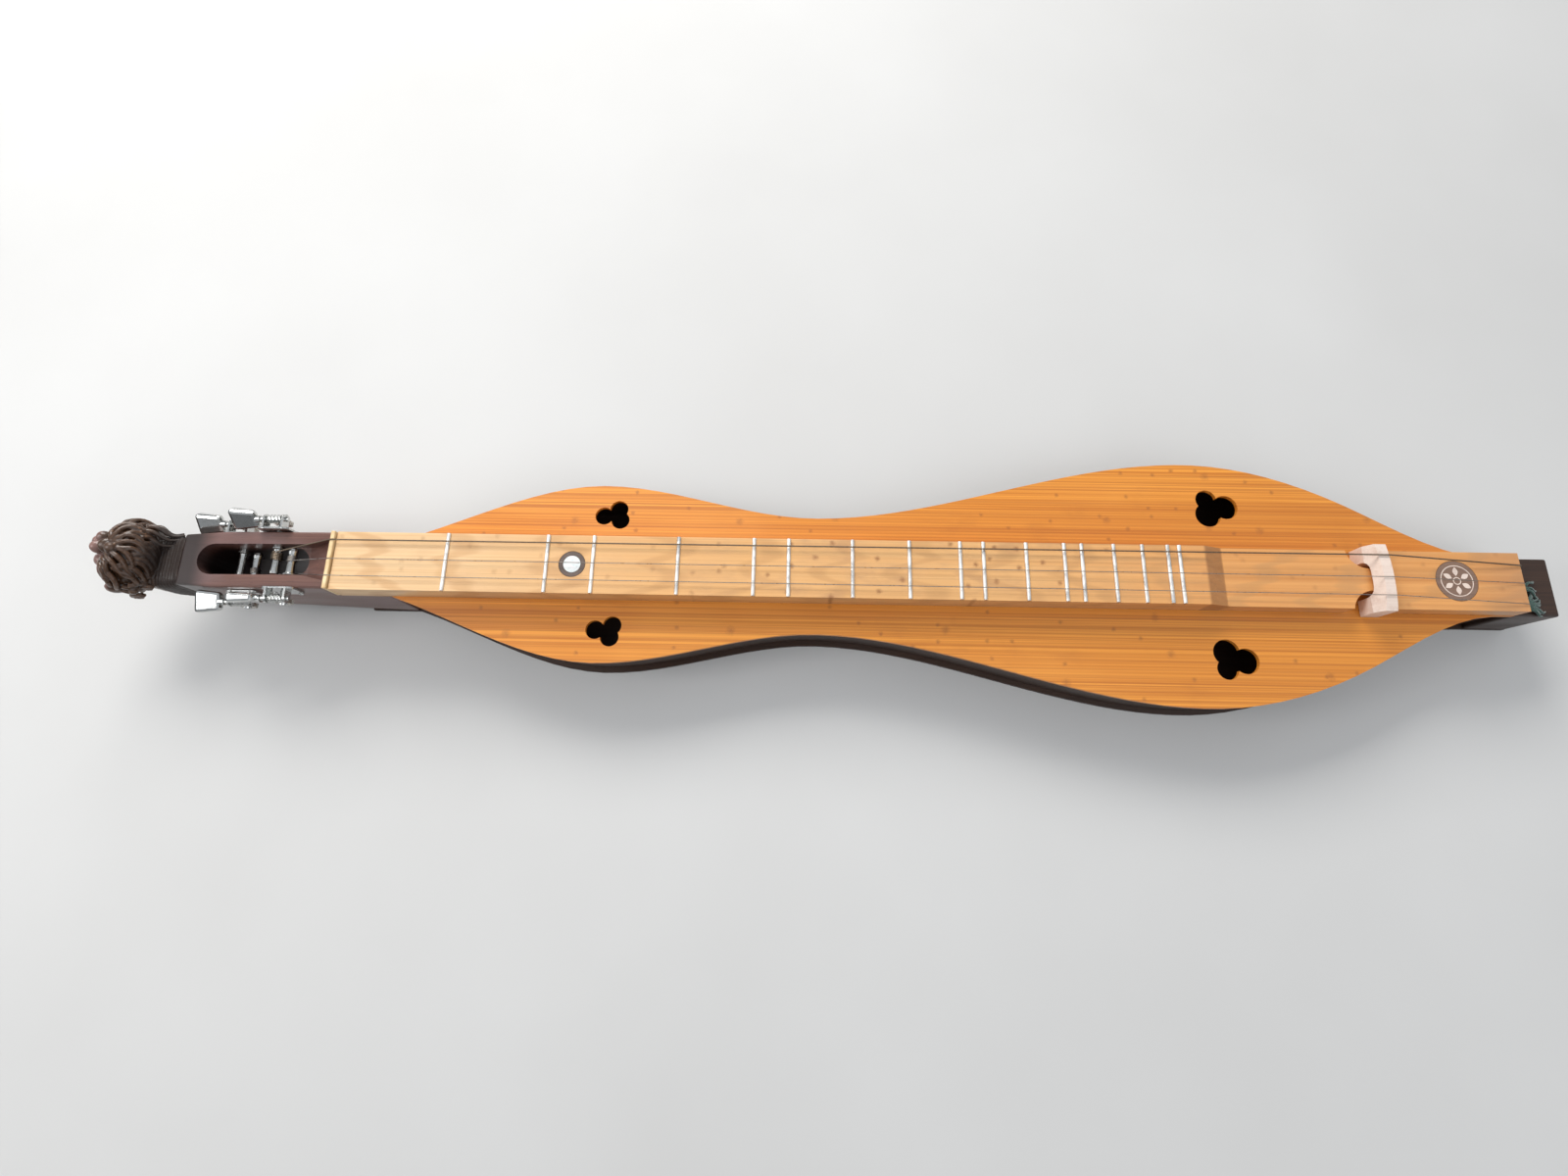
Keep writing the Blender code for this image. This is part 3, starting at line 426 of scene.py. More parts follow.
# ---- other materials ----------------------------------------------------------------
def worn_metal(name, colour, tarnish, roughness, tarnish_share=0.5, scale=260.0):
    """Plated metal with cloudy tarnish and fine scuffs."""
    s = Surface(name, roughness, metallic=1.0)
    cloud = s.noise((scale, scale, scale), 4.0, 0.62)
    scuff = s.noise((900, 3600, 2400), 2.0)
    base = s.mix(s.span(cloud, 0.45, 0.75, 0.0, tarnish_share), colour, tarnish)
    s.colour(base)
    s.roughness(cloud, roughness * 0.7, roughness * 1.9)
    s.bump(scuff, 0.00001, 0.5)
    return s.material


def wound_wire():
    """Bronze winding on the thick string: fine close turns along its length."""
    s = Surface("wound_string", 0.35, metallic=1.0)
    turns = s.node("ShaderNodeTexWave", wave_type="BANDS", bands_direction="X")
    turns.inputs["Scale"].default_value = 400.0
    s.link(s.place, turns.inputs["Vector"])
    s.colour(s.ramp(turns.outputs["Fac"], ((0.1, (0.10, 0.075, 0.055)), (0.8, (0.36, 0.29, 0.22)))))
    s.bump(turns.outputs["Fac"], 0.00006, 0.8)
    return s.material


def pearl():
    s = Surface("pearl", 0.16, coat=0.6, coat_roughness=0.05)
    swirl = s.noise((260, 420, 300), 3.0, distortion=1.2)
    stops = ((0.3, (0.66, 0.74, 0.76)), (0.5, (0.86, 0.88, 0.86)), (0.7, (0.88, 0.80, 0.82)))
    s.colour(s.ramp(swirl, stops))
    s.roughness(swirl, 0.12, 0.25)
    return s.material


def bone():
    s = Surface("nut_bone", 0.36, coat=0.15, coat_roughness=0.2)
    cloud = s.noise((200, 90, 200), 3.0)
    s.colour(s.ramp(cloud, ((0.35, (0.66, 0.43, 0.19)), (0.65, (0.88, 0.68, 0.40)))))
    s.roughness(cloud, 0.3, 0.45)
    return s.material


def silk():
    """Blue-green silk over the strings' tail ends."""
    s = Surface("string_silk", 0.85)
    s.shader.inputs["Sheen Weight"].default_value = 0.5
    twist = s.node("ShaderNodeTexWave", wave_type="BANDS", bands_direction="DIAGONAL")
    twist.inputs["Scale"].default_value = 900.0
    s.link(s.place, twist.inputs["Vector"])
    s.colour(s.ramp(twist.outputs["Fac"], ((0.2, (0.008, 0.030, 0.025)), (0.8, (0.045, 0.125, 0.10)))))
    s.bump(twist.outputs["Fac"], 0.0001, 0.8)
    return s.material


def plain_floor():
    s = Surface("floor", 0.85)
    mottle = s.noise((3, 3, 3), 4.0)
    s.colour(s.ramp(mottle, ((0.3, (0.60, 0.596, 0.588)), (0.7, (0.65, 0.648, 0.642)))))
    return s.material


def make_looks():
    """One material for each of the record's slots."""
    chrome = ((0.66, 0.67, 0.66), (0.26, 0.24, 0.20))
    return {
        "soundboard_cedar": soundboard_wood(),
        "fretboard_wood": fretboard_wood(),
        "body_walnut": walnut("body_walnut", (0.055, 0.026, 0.015), (0.022, 0.010, 0.006), 0.46, 0.06),
        "pegbox_walnut": walnut(
            "pegbox_walnut", (0.18, 0.078, 0.056), (0.095, 0.038, 0.028), 0.38, 0.35, 0.4),
        "carved_walnut": carved_walnut(),
        "bridge_wood": bare_wood(
            "bridge_wood", (0.90, 0.76, 0.67), (0.78, 0.62, 0.53), (0.62, 0.43, 0.34)),
        "nut_bone": bone(),
        "marker_ring_wood": bare_wood(
            "marker_ring_wood", (0.17, 0.12, 0.10), (0.08, 0.055, 0.045), (0.2, 0.15, 0.12)),
        "pearl": pearl(),
        "inlay_wood": bare_wood(
            "inlay_wood", (0.32, 0.20, 0.14), (0.17, 0.10, 0.072), (0.26, 0.18, 0.14), 0.0011),
        "brace_spruce": bare_wood(
            "brace_spruce", (0.78, 0.58, 0.34), (0.62, 0.42, 0.22), (0.5, 0.33, 0.18)),
        "fret_wire": worn_metal("fret_wire", (0.97, 0.96, 0.93), (0.80, 0.76, 0.68), 0.38, 0.3, 120.0),
        "wound_string": wound_wire(),
        "plain_string": worn_metal("plain_string", (0.36, 0.34, 0.32), (0.20, 0.16, 0.12), 0.3),
        "pin_steel": worn_metal("pin_steel", (0.56, 0.54, 0.50), (0.30, 0.22, 0.16), 0.34),
        "tuner_plate": worn_metal("tuner_plate", *chrome, 0.16),
        "tuner_post": worn_metal("tuner_post", *chrome, 0.13),
        "tuner_gear": worn_metal("tuner_gear", (0.60, 0.57, 0.52), (0.30, 0.26, 0.21), 0.28),
        "tuner_worm": worn_metal("tuner_worm", *chrome, 0.17),
        "tuner_button": worn_metal("tuner_button", *chrome, 0.10, 0.35, 150.0),
    }


def dress_nodes(looks):
    for row in frame["record"]["subparts"]:
        node = NODES[row["node"]]
        node.data.materials.clear()
        node.data.materials.append(looks[row["material_slot"]])


# ---- mesh helpers -------------------------------------------------------------------
def add_piece(name, mesh, body, look, replaced=()):
    obj = bpy.data.objects.new(name, mesh)
    bpy.context.scene.collection.objects.link(obj)
    mesh.materials.clear()
    mesh.materials.append(look)
    mesh.shade_smooth()
    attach(obj, body)
    if replaced:
        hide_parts(*replaced)
    return obj


def evaluated_mesh(obj):
    """The object's final mesh; the object itself is removed."""
    bpy.context.view_layer.update()
    mesh = bpy.data.meshes.new_from_object(obj.evaluated_get(bpy.context.evaluated_depsgraph_get()))
    bpy.data.objects.remove(obj, do_unlink=True)
    return mesh


def tube(points, radii, sides=10):
    """Closed round tube through points; radii is one radius or one for each point."""
    places = [Vector(point) for point in points]
    count = len(places)
    sizes = radii if isinstance(radii, list) else [radii] * count
    bm = bmesh.new()
    rings = []
    across = None
    for index, place in enumerate(places):
        way = (places[min(index + 1, count - 1)] - places[max(index - 1, 0)]).normalized()
        if across is None:
            across = way.orthogonal()
        across = (across - way * across.dot(way)).normalized()
        other = way.cross(across)
        ring = []
        for side in range(sides):
            a = 2 * math.pi * side / sides
            spoke = across * math.cos(a) + other * math.sin(a)
            ring.append(bm.verts.new(place + spoke * sizes[index]))
        rings.append(ring)
    for ring, after in zip(rings, rings[1:]):
        for i in range(sides):
            j = (i + 1) % sides
            bm.faces.new((ring[i], ring[j], after[j], after[i]))
    bm.faces.new(list(reversed(rings[0])))
    bm.faces.new(rings[-1])
    mesh = bpy.data.meshes.new("tube")
    bm.to_mesh(mesh)
    bm.free()
    return mesh


def joined(meshes):
    bm = bmesh.new()
    for mesh in meshes:
        bm.from_mesh(mesh)
    result = bpy.data.meshes.new("joined")
    bm.to_mesh(result)
    bm.free()
    return result


def remeshed(mesh, voxel, smoothing):
    """One closed skin over overlapping forms."""
    holder = bpy.data.objects.new("forms", mesh)
    bpy.context.scene.collection.objects.link(holder)
    remesh = holder.modifiers.new("skin", "REMESH")
    remesh.mode = "VOXEL"
    remesh.voxel_size = voxel
    smooth = holder.modifiers.new("soften", "SMOOTH")
    smooth.factor = 0.5
    smooth.iterations = smoothing
    return evaluated_mesh(holder)


def ellipsoid(centre, radii, turn=None):
    place = Matrix.Translation(centre)
    if turn is not None:
        place = place @ turn
    place = place @ Matrix.Diagonal((*radii, 1.0))
    bm = bmesh.new()
    bmesh.ops.create_icosphere(bm, subdivisions=3, radius=1.0, matrix=place)
    mesh = bpy.data.meshes.new("ellipsoid")
    bm.to_mesh(mesh)
    bm.free()
    return mesh


# ---- the carved lion's head ---------------------------------------------------------
HEAD_CENTRE = (-0.1362, 0.0020, 0.0555)
HEAD_RADII = (0.0152, 0.0232, 0.0192)
FACE_DIRECTION = (-0.70, 0.30, 0.65)
CROWN_DIRECTION = (-0.10, 0.10, 0.99)
FACE_CLEARING = 43.0
GROOVE = 0.0021
VOXEL = 0.00045


class Head:
    """Places on the head: forward, side (away from the player) and up are the face's own."""

    centre = Vector((from_nut(HEAD_CENTRE[0]), HEAD_CENTRE[1], HEAD_CENTRE[2]))
    forward = Vector(FACE_DIRECTION).normalized()
    side = Vector((0, 0, 1)).cross(forward).normalized() * -1
    up = side.cross(forward).normalized() * -1
    crown = Vector(CROWN_DIRECTION).normalized()

    @classmethod
    def at(cls, forward, side, up):
        """A place given in millimetres along the face's directions."""
        return cls.centre + (cls.forward * forward + cls.side * side + cls.up * up) * 0.001

    @classmethod
    def turn(cls):
        return Matrix((cls.forward, cls.side, cls.up)).transposed().to_4x4()

    @classmethod
    def surface(cls, way, lift):
        scaled = Vector(way[i] / HEAD_RADII[i] for i in range(3))
        return cls.centre + way * (1.0 / scaled.length + lift)

    @classmethod
    def way(cls, pole, away, around):
        """Direction away from a pole and around it, in degrees; 0 around is toward the neck."""
        start = (Vector((1, 0, 0)) - pole * pole.x).normalized()
        other = pole.cross(start)
        a, b = math.radians(away), math.radians(around)
        return pole * math.cos(a) + (start * math.cos(b) + other * math.sin(b)) * math.sin(a)

    @classmethod
    def from_face(cls, way):
        return math.degrees(way.angle(cls.forward))


# The face's rounded forms, in millimetres from the head's centre: forward, side, up, radii.
FACE_PAIRS = (
    ((14.4, 6.0, 8.6), (4.2, 5.2, 2.8)),
    ((12.6, 10.0, 0.6), (5.4, 5.0, 6.4)),
    ((18.6, 3.6, -4.2), (4.8, 4.2, 3.8)),
    ((16.6, 5.8, 4.4), (2.4, 2.6, 2.1)),
    ((6.5, 15.5, 10.5), (3.0, 4.0, 4.6)),
)
FACE_MIDDLE = (
    ((12.0, 0.0, 2.0), (7.0, 11.0, 12.0)),
    ((16.8, 0.0, 3.6), (5.4, 3.1, 6.0)),
    ((21.4, 0.0, -0.8), (2.7, 3.7, 2.2)),
    ((14.6, 0.0, -10.4), (5.2, 5.0, 3.4)),
    ((12.0, 0.0, -14.6), (4.2, 4.0, 4.6)),
    ((13.6, 0.0, 12.2), (3.6, 4.6, 3.2)),
)


def face_forms():
    """Brows, cheeks, muzzle, eyes and ears in pairs, then skull, nose, lip, chin and forelock."""
    forms = [(place, radii) for place, radii in FACE_MIDDLE]
    for (forward, side, up), radii in FACE_PAIRS:
        forms += [((forward, side, up), radii), ((forward, -side, up), radii)]
    turn = Head.turn()
    return [ellipsoid(Head.at(*place), [r * 0.001 for r in radii], turn) for place, radii in forms]


# Rows of locks round the crown: degrees from it, how many, and how long in degrees.
CROWN_ROWS = ((8.0, 6, 84.0), (44.0, 8, 72.0), (84.0, 9, 56.0))
# Degrees between strands, and their radius at the root.
STRAND_SPACING = 10.5
STRAND_RADIUS = 0.00180
LOCK_STEPS = 18


def mane_lock(pole, away, around, bend, swing, length, strands):
    """Strands side by side that swing together to one side, curl back and close at their tips."""
    meshes = []
    middle = (strands - 1) / 2
    for strand in range(strands):
        offset = strand - middle
        points = []
        radii = []
        for i in range(LOCK_STEPS + 1):
            t = i / LOCK_STEPS
            reach = away + length * t
            belly = 0.30 + math.sin(math.pi * min(1.0, 0.22 + 0.9 * t))
            spread = offset * STRAND_SPACING * belly / max(0.42, math.sin(math.radians(reach)))
            turn = around + bend * t * t + swing * math.sin(math.pi * 1.8 * t) + spread
            crest = 0.0007 * (1 - abs(offset) / (middle + 1))
            lift = -0.0007 + 0.0016 * math.sin(math.pi * min(1.0, t * 1.1)) + crest
            points.append(Head.surface(Head.way(pole, reach, turn), lift))
            radii.append(STRAND_RADIUS * (1.0 - 0.65 * t ** 2.5))
        if min(Head.from_face(point - Head.centre) for point in points) > FACE_CLEARING - 9:
            meshes.append(tube(points, radii, 8))
    return meshes


def mane_forms():
    """Long locks that fan back from the crown, each row tucked under the one before it."""
    random_ = random.Random(5)
    meshes = []
    for row, (away, count, length) in enumerate(CROWN_ROWS):
        for index in range(count):
            around = 360.0 * (index + 0.5 * (row % 2)) / count + random_.uniform(-4, 4)
            start = Head.way(Head.crown, away, around)
            if Head.from_face(start) < FACE_CLEARING:
                continue
            bend = -34.0 * math.sin(math.radians(around)) + random_.uniform(-6, 6)
            swing = random_.uniform(12.0, 17.0)
            reach = length * random_.uniform(0.92, 1.08)
            meshes += mane_lock(Head.crown, away, around, bend, swing, reach, 3)
    for index in range(11):
        around = 90.0 + 18.0 * index
        meshes += mane_lock(Head.forward, FACE_CLEARING + 2, around, 10.0, 8.0, 42.0, 3)
    return meshes


def coil(centre, radius, rise, turns, thickness):
    """A rounded curl wound in toward its middle, lying on the near or far side of the head."""
    points = []
    radii = []
    steps = int(turns * 20)
    for i in range(steps + 1):
        t = i / steps
        a = 2 * math.pi * turns * t
        r = radius * (1 - 0.75 * t)
        points.append(centre + Vector((r * math.cos(a), rise * t, r * 0.8 * math.sin(a))))
        radii.append(thickness * (1 - 0.35 * t))
    return tube(points, radii, 8)


# Rounded lumps on the near side: place and radii.
NEAR_LUMPS = (
    ((-0.1430, -0.0195, 0.0560), (0.0072, 0.0042, 0.0052)),
    ((-0.1315, -0.0222, 0.0555), (0.0026, 0.0024, 0.0028)),
)
# Side curls: place, radius, rise and thickness.
SIDE_CURLS = (
    ((-0.1370, -0.0225, 0.0450), 0.0046, -0.0015, 0.0015),
    ((-0.1260, -0.0185, 0.0520), 0.0040, -0.0015, 0.0014),
    ((-0.1390, 0.0245, 0.0480), 0.0046, 0.0015, 0.0015),
    ((-0.1270, 0.0215, 0.0560), 0.0044, 0.0015, 0.0015),
)
CURL_TURNS = 1.6
WISP_START_X = -0.1270
WISP_END_Z = 0.0545
# Wisps that run from the far side of the mane along the neck: start Y, start Z, end X, end Y, radius.
FAR_WISPS = (
    (0.0200, 0.0620, -0.1075, 0.0168, 0.0019),
    (0.0160, 0.0650, -0.1090, 0.0140, 0.0018),
    (0.0215, 0.0560, -0.1085, 0.0180, 0.0018),
    (0.0110, 0.0660, -0.1120, 0.0100, 0.0016),
)


def curl_forms():
    """The smooth near lump with a knob behind it, side curls, and wisps along the far side."""
    forms = [ellipsoid((from_nut(x), y, z), radii) for (x, y, z), radii in NEAR_LUMPS]
    for (x, y, z), radius, rise, thickness in SIDE_CURLS:
        forms.append(coil(Vector((from_nut(x), y, z)), radius, rise, CURL_TURNS, thickness))
    for start_y, start_z, end_x, end_y, size in FAR_WISPS:
        points = []
        radii = []
        for i in range(15):
            t = i / 14
            y = start_y + (end_y - start_y) * t + 0.0016 * math.sin(math.pi * 2.2 * t)
            z = start_z + (WISP_END_Z - start_z) * t + 0.0010 * math.sin(math.pi * 1.6 * t)
            x = WISP_START_X + (end_x - WISP_START_X) * t
            points.append((from_nut(x), y, z))
            radii.append(size * (1 - 0.6 * t))
        forms.append(tube(points, radii, 8))
    return forms


# The neck from the pegbox: how far along, half width, bottom and top.
NECK_SECTIONS = (
    (0.0, 0.0172, 0.0202, 0.0573),
    (0.008, 0.0182, 0.0215, 0.0552),
    (0.016, 0.0182, 0.0270, 0.0552),
    (0.028, 0.0160, 0.0360, 0.0575),
)
NECK_STEPS = 56
NECK_SIDES = 32
NECK_SQUARENESS = 0.35
NECK_RIB = 0.00022
NECK_RIB_SPACING = 0.0021
NECK_RIBS_FROM = 0.003
JOINT_GAP = 0.0003


def squared(value):
    """A sine or cosine pushed outward, which squares a circle's corners."""
    return math.copysign(abs(value) ** NECK_SQUARENESS, value)


def neck_form():
    """Neck from the pegbox's end into the mane, cut across with fine close grooves."""
    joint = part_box("pegbox")[0].x - JOINT_GAP
    bm = bmesh.new()
    rings = []
    for step in range(NECK_STEPS + 1):
        along = NECK_SECTIONS[-1][0] * step / NECK_STEPS
        for near, far in zip(NECK_SECTIONS, NECK_SECTIONS[1:]):
            if near[0] <= along <= far[0]:
                t = (along - near[0]) / (far[0] - near[0])
                half, bottom, top = (a + (b - a) * t for a, b in zip(near[1:], far[1:]))
                break
        wave = math.sin(2 * math.pi * along / NECK_RIB_SPACING)
        groove = NECK_RIB * wave if along > NECK_RIBS_FROM else 0.0
        middle = (top + bottom) / 2
        rise = (top - bottom) / 2 + groove
        ring = []
        for i in range(NECK_SIDES):
            a = 2 * math.pi * i / NECK_SIDES
            y = (half + groove) * squared(math.cos(a))
            ring.append(bm.verts.new((joint - along, y, middle + rise * squared(math.sin(a)))))
        rings.append(ring)
    for ring, after in zip(rings, rings[1:]):
        for i in range(NECK_SIDES):
            j = (i + 1) % NECK_SIDES
            bm.faces.new((ring[i], ring[j], after[j], after[i]))
    bm.faces.new(rings[0])
    bm.faces.new(rings[-1])
    bmesh.ops.recalc_face_normals(bm, faces=bm.faces)
    mesh = bpy.data.meshes.new("neck")
    bm.to_mesh(mesh)
    bm.free()
    return mesh


# Carved into the face: forward, side, up, radius and depth, all in millimetres.
FACE_CUTS = (
    ((20.0, 5.6, 6.2), 2.4, 0.8), ((20.0, -5.6, 6.2), 2.4, 0.8),
    ((22.8, 1.9, -1.8), 1.2, 0.9), ((22.8, -1.9, -1.8), 1.2, 0.9),
)
MOUTH = tuple(((20.5, side * 0.9, -7.6 - 0.04 * side * side), 1.3, 1.0) for side in range(-7, 8, 2))


def carve_details(mesh):
    """Eye sockets, nostrils and a mouth line pressed into the face, and chisel marks all over."""
    places = np.empty(len(mesh.vertices) * 3)
    normals = np.empty(len(mesh.vertices) * 3)
    mesh.vertices.foreach_get("co", places)
    mesh.vertices.foreach_get("normal", normals)
    places = places.reshape(-1, 3)
    normals = normals.reshape(-1, 3)
    forward = np.array(Head.forward)
    outward = places - np.array(Head.centre)
    facing = outward @ forward / np.linalg.norm(outward, axis=1)
    on_face = facing > math.cos(math.radians(FACE_CLEARING))
    for place, radius, depth in FACE_CUTS + MOUTH:
        offset = places - np.array(Head.at(*place))
        ahead = offset @ forward
        near = np.linalg.norm(offset - ahead[:, None] * forward, axis=1) / (radius * 0.001)
        pressed = on_face & (near < 1.6) & (np.abs(ahead) < 0.006)
        push = depth * 0.001 * np.exp(-1.6 * near[pressed] ** 2)
        places[pressed] -= push[:, None] * forward
    chisel = [noise.noise(Vector(p) * 420.0) * 0.00012 + noise.noise(Vector(p) * 1100.0) * 0.00005
              for p in places]
    places += normals * np.array(chisel)[:, None]
    mesh.vertices.foreach_set("co", places.ravel())
    mesh.update()


def make_lion(look):
    core = ellipsoid(Head.centre, [r - GROOVE for r in HEAD_RADII])
    forms = [core, neck_form()] + face_forms() + mane_forms() + curl_forms()
    mesh = remeshed(joined(forms), VOXEL, 1)
    carve_details(mesh)
    add_piece("lion_carving", mesh, BODY, look, ("lion_scroll",))


# ---- strings, windings and small hardware -------------------------------------------
# String, its post, the Y where its winding ends, its radius, turns and slot.
WINDINGS = (
    ("bass", 3, 0.0060, 0.00050, 5, "wound_string"),
    ("middle", 4, 0.0, 0.00025, 7, "plain_string"),
    ("melody", 2, -0.0055, 0.00025, 7, "plain_string"),
)
BARREL_RADIUS = 0.0026
TURN_STEPS = 24
TURN_PITCH = 2.05


def make_windings(looks):
    """Turns of string on the three posts that carry one, each turning with its post."""
    for name, number, y_end, radius, turns, slot in WINDINGS:
        x, _, z = JOINTS[f"post_{number}_turn"]["pos_m"]
        barrel = BARREL_RADIUS + radius
        direction = -1 if y_end > 0 else 1
        points = []
        for i in range(turns * TURN_STEPS + 1):
            a = math.radians(90 + 360 / TURN_STEPS * i)
            y = y_end + direction * i / TURN_STEPS * radius * TURN_PITCH
            points.append((x + barrel * math.cos(a), y, z + barrel * math.sin(a)))
        add_piece(f"{name}_winding", tube(points, radius), f"post_{number}", looks[slot])


# Loose threads at the bass, middle and melody pins, the directions and lengths they lie in,
# and their radius at the root.
FRAYED = (0, 3, 18)
FRAY_FAN = (-0.55, 1.2)
FRAY_LENGTHS = (0.005, 0.0115)
FRAY_RADIUS = 0.00105
FRAY_STEPS = 12
SILK_RADIUS = 0.00095
SILK_COIL_RADIUS = 0.0019
SILK_COIL_STEPS = 60
SILK_COIL_LOW = 0.0007


def frayed_end(random_, start, way, length):
    """One loose curled thread that settles onto the tail block."""
    points = []
    turn = random_.uniform(-0.5, 0.5)
    for i in range(FRAY_STEPS + 1):
        t = i / FRAY_STEPS
        side = Vector((-way.y, way.x, 0)) * (math.sin(math.pi * 2 * t + turn) * 0.0016 * t)
        rise = 0.0022 * math.sin(math.pi * (0.25 + 0.75 * t)) - 0.0004
        points.append(start + way * (length * t) + side + Vector((0, 0, rise)))
    radii = [FRAY_RADIUS * (1 - 0.5 * i / FRAY_STEPS) for i in range(FRAY_STEPS + 1)]
    return tube(points, radii, 6)


def make_string_tails(looks):
    """Silk over each string's end, wound round its pin, with a few frayed threads."""
    random_ = random.Random(3)
    silk_look = silk()
    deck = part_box("tail_block")[1].z
    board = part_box("fretboard")[1]
    for index, name in enumerate(("bass_string", "middle_string", "melody_string"), 1):
        low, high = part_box(f"hitch_pin_{index}")
        pin = (low + high) / 2
        edge = Vector((board.x + 0.0011, pin.y, board.z - 0.0068))
        near = Vector((pin.x - 0.0026, pin.y, deck + 0.0018))
        steps = [edge.lerp(near, i / 8) for i in range(9)]
        meshes = [tube(steps, SILK_RADIUS)]
        coil_points = []
        for i in range(SILK_COIL_STEPS + 1):
            a = math.pi + 2 * math.pi * i / TURN_STEPS
            x = pin.x + SILK_COIL_RADIUS * math.cos(a)
            y = pin.y + SILK_COIL_RADIUS * math.sin(a)
            coil_points.append((x, y, deck + SILK_COIL_LOW + 0.0008 * i / TURN_STEPS))
        meshes.append(tube(coil_points, 0.00042, 8))
        for _ in range(FRAYED[index - 1]):
            a = random_.uniform(*FRAY_FAN)
            way = Vector((math.cos(a), math.sin(a), 0))
            start = Vector((pin.x, pin.y, deck + SILK_COIL_LOW)) + way * 0.0021
            meshes.append(frayed_end(random_, start, way, random_.uniform(*FRAY_LENGTHS)))
        add_piece(f"{name}_silk", joined(meshes), BODY, silk_look)


SCREW_RADIUS = 0.0016
SCREW_HEIGHT = 0.0011
SCREW_OFFSET = 0.0086
SCREW_DROP = -0.0028
PLATE_FACE_Y = 0.0210


def screw_mesh(radius, height):
    """Domed screw head with a slot, its axis along Z."""
    bm = bmesh.new()
    bmesh.ops.create_cone(bm, cap_ends=True, segments=24, radius1=radius, radius2=radius * 0.82,
                          depth=height)
    bmesh.ops.bevel(bm, geom=[e for e in bm.edges if all(v.co.z > 0 for v in e.verts)],
                    offset=height * 0.4, segments=3, affect="EDGES")
    mesh = bpy.data.meshes.new("screw")
    bm.to_mesh(mesh)
    bm.free()
    holder = bpy.data.objects.new("screw", mesh)
    bpy.context.scene.collection.objects.link(holder)
    slot_bm = bmesh.new()
    size = Matrix.Diagonal((radius * 2.4, radius * 0.3, height * 0.9, 1))
    place = Matrix.Translation((0, 0, height * 0.5)) @ size
    bmesh.ops.create_cube(slot_bm, size=1.0, matrix=place)
    slot_mesh = bpy.data.meshes.new("slot")
    slot_bm.to_mesh(slot_mesh)
    slot_bm.free()
    slot_holder = bpy.data.objects.new("slot", slot_mesh)
    bpy.context.scene.collection.objects.link(slot_holder)
    cut = holder.modifiers.new("slot", "BOOLEAN")
    cut.object = slot_holder
    made = evaluated_mesh(holder)
    bpy.data.objects.remove(slot_holder, do_unlink=True)
    return made


def make_screws(look):
    """Two screws through each tuner plate."""
    for number in range(1, 5):
        side = 1 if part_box(f"tuner_plate_{number}")[1].y > 0 else -1
        x, _, z = JOINTS[f"post_{number}_turn"]["pos_m"]
        for label, hand in (("head", -1), ("tail", 1)):
            mesh = screw_mesh(SCREW_RADIUS, SCREW_HEIGHT)
            turn = Matrix.Rotation(math.radians(-90 * side), 4, "X")
            turn = turn @ Matrix.Rotation(math.radians(35 * number + 50 * hand), 4, "Z")
            place = (x + hand * SCREW_OFFSET, side * (PLATE_FACE_Y + 0.0005), z + SCREW_DROP)
            mesh.transform(Matrix.Translation(place) @ turn)
            add_piece(f"plate_screw_{number}_{label}", mesh, BODY, look)


INLAY_PROUD = 0.00006
INLAY_BANDS = ((0.0100, 0.0106), (0.0020, 0.0026))
PETALS = 6
PETAL = (0.0034, 0.0094, 0.0017)


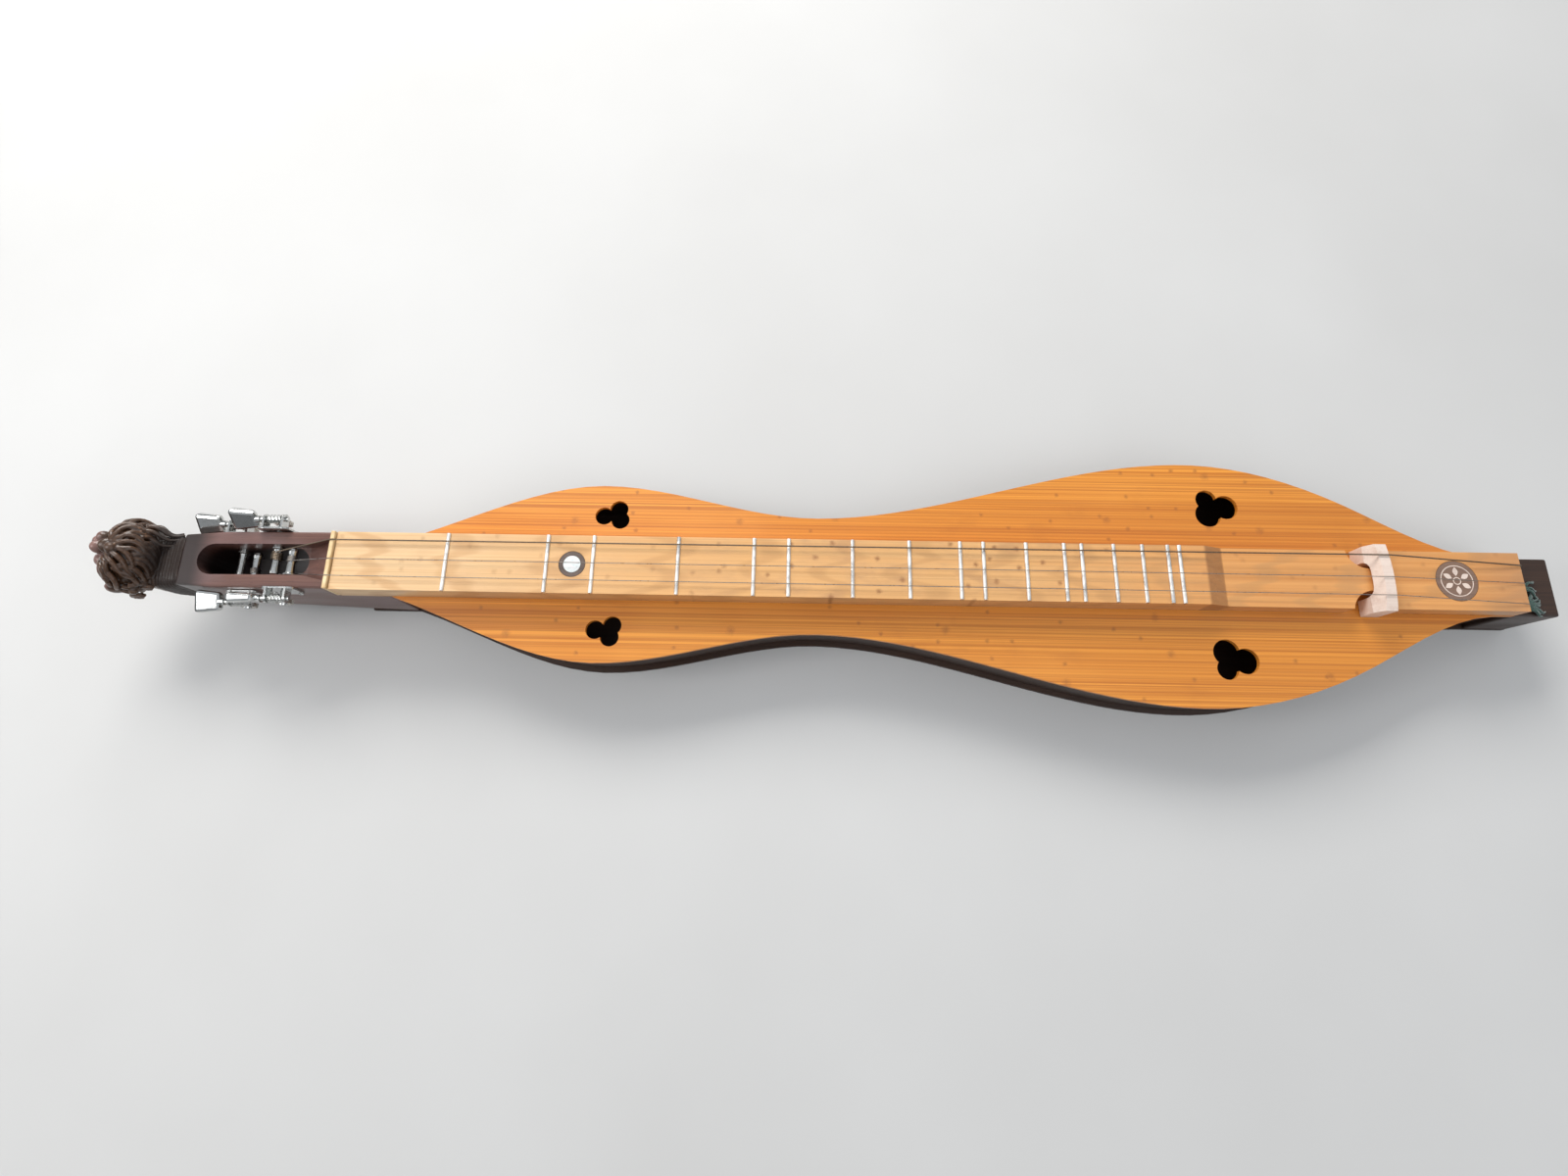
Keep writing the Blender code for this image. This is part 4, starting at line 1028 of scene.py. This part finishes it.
def make_inlay_motif(look):
    """A plain ring and six petals let into the tail inlay."""
    low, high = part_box("tail_inlay")
    centre = (low + high) / 2
    top = high.z
    bm = bmesh.new()
    for inner, outer in INLAY_BANDS:
        rings = []
        for radius in (inner, outer):
            ring = []
            for i in range(72):
                a = 2 * math.pi * i / 72
                ring.append((centre.x + radius * math.cos(a), centre.y + radius * math.sin(a)))
            rings.append(ring)
        add_band(bm, rings[0], rings[1], top)
    for petal in range(PETALS):
        a = math.radians(360 / PETALS * petal + 30)
        add_petal(bm, centre, a, *PETAL, top)
    bmesh.ops.recalc_face_normals(bm, faces=bm.faces)
    mesh = bpy.data.meshes.new("inlay_motif")
    bm.to_mesh(mesh)
    bm.free()
    add_piece("inlay_motif", mesh, BODY, look).data.shade_flat()


def add_band(bm, inner, outer, top):
    """A closed flat ring between two loops of points."""
    levels = []
    for z in (top - INLAY_PROUD, top + INLAY_PROUD):
        levels.append([[bm.verts.new((x, y, z)) for x, y in loop] for loop in (inner, outer)])
    (low_in, low_out), (high_in, high_out) = levels
    count = len(inner)
    for i in range(count):
        j = (i + 1) % count
        bm.faces.new((high_in[i], high_in[j], high_out[j], high_out[i]))
        bm.faces.new((low_in[i], low_out[i], low_out[j], low_in[j]))
        bm.faces.new((low_out[i], high_out[i], high_out[j], low_out[j]))
        bm.faces.new((low_in[i], low_in[j], high_in[j], high_in[i]))


def add_petal(bm, centre, angle, start, end, half, top):
    """A closed flat lens pointing away from the centre."""
    loop = []
    steps = 10
    for hand in (1, -1):
        for i in range(steps):
            t = i / steps
            along = start + (end - start) * (t if hand == 1 else 1 - t)
            across = hand * half * math.sin(math.pi * t)
            loop.append((centre.x + along * math.cos(angle) - across * math.sin(angle),
                         centre.y + along * math.sin(angle) + across * math.cos(angle)))
    low = [bm.verts.new((x, y, top - INLAY_PROUD)) for x, y in loop]
    high = [bm.verts.new((x, y, top + INLAY_PROUD)) for x, y in loop]
    bm.faces.new(high)
    bm.faces.new(list(reversed(low)))
    for i in range(len(loop)):
        j = (i + 1) % len(loop)
        bm.faces.new((low[i], low[j], high[j], high[i]))


def main():
    make_camera()
    looks = make_looks()
    dress_nodes(looks)
    make_lion(looks["carved_walnut"])
    make_windings(looks)
    make_string_tails(looks)
    make_screws(looks["tuner_plate"])
    make_inlay_motif(looks["bridge_wood"])
    make_lights()
    make_floor()


main()
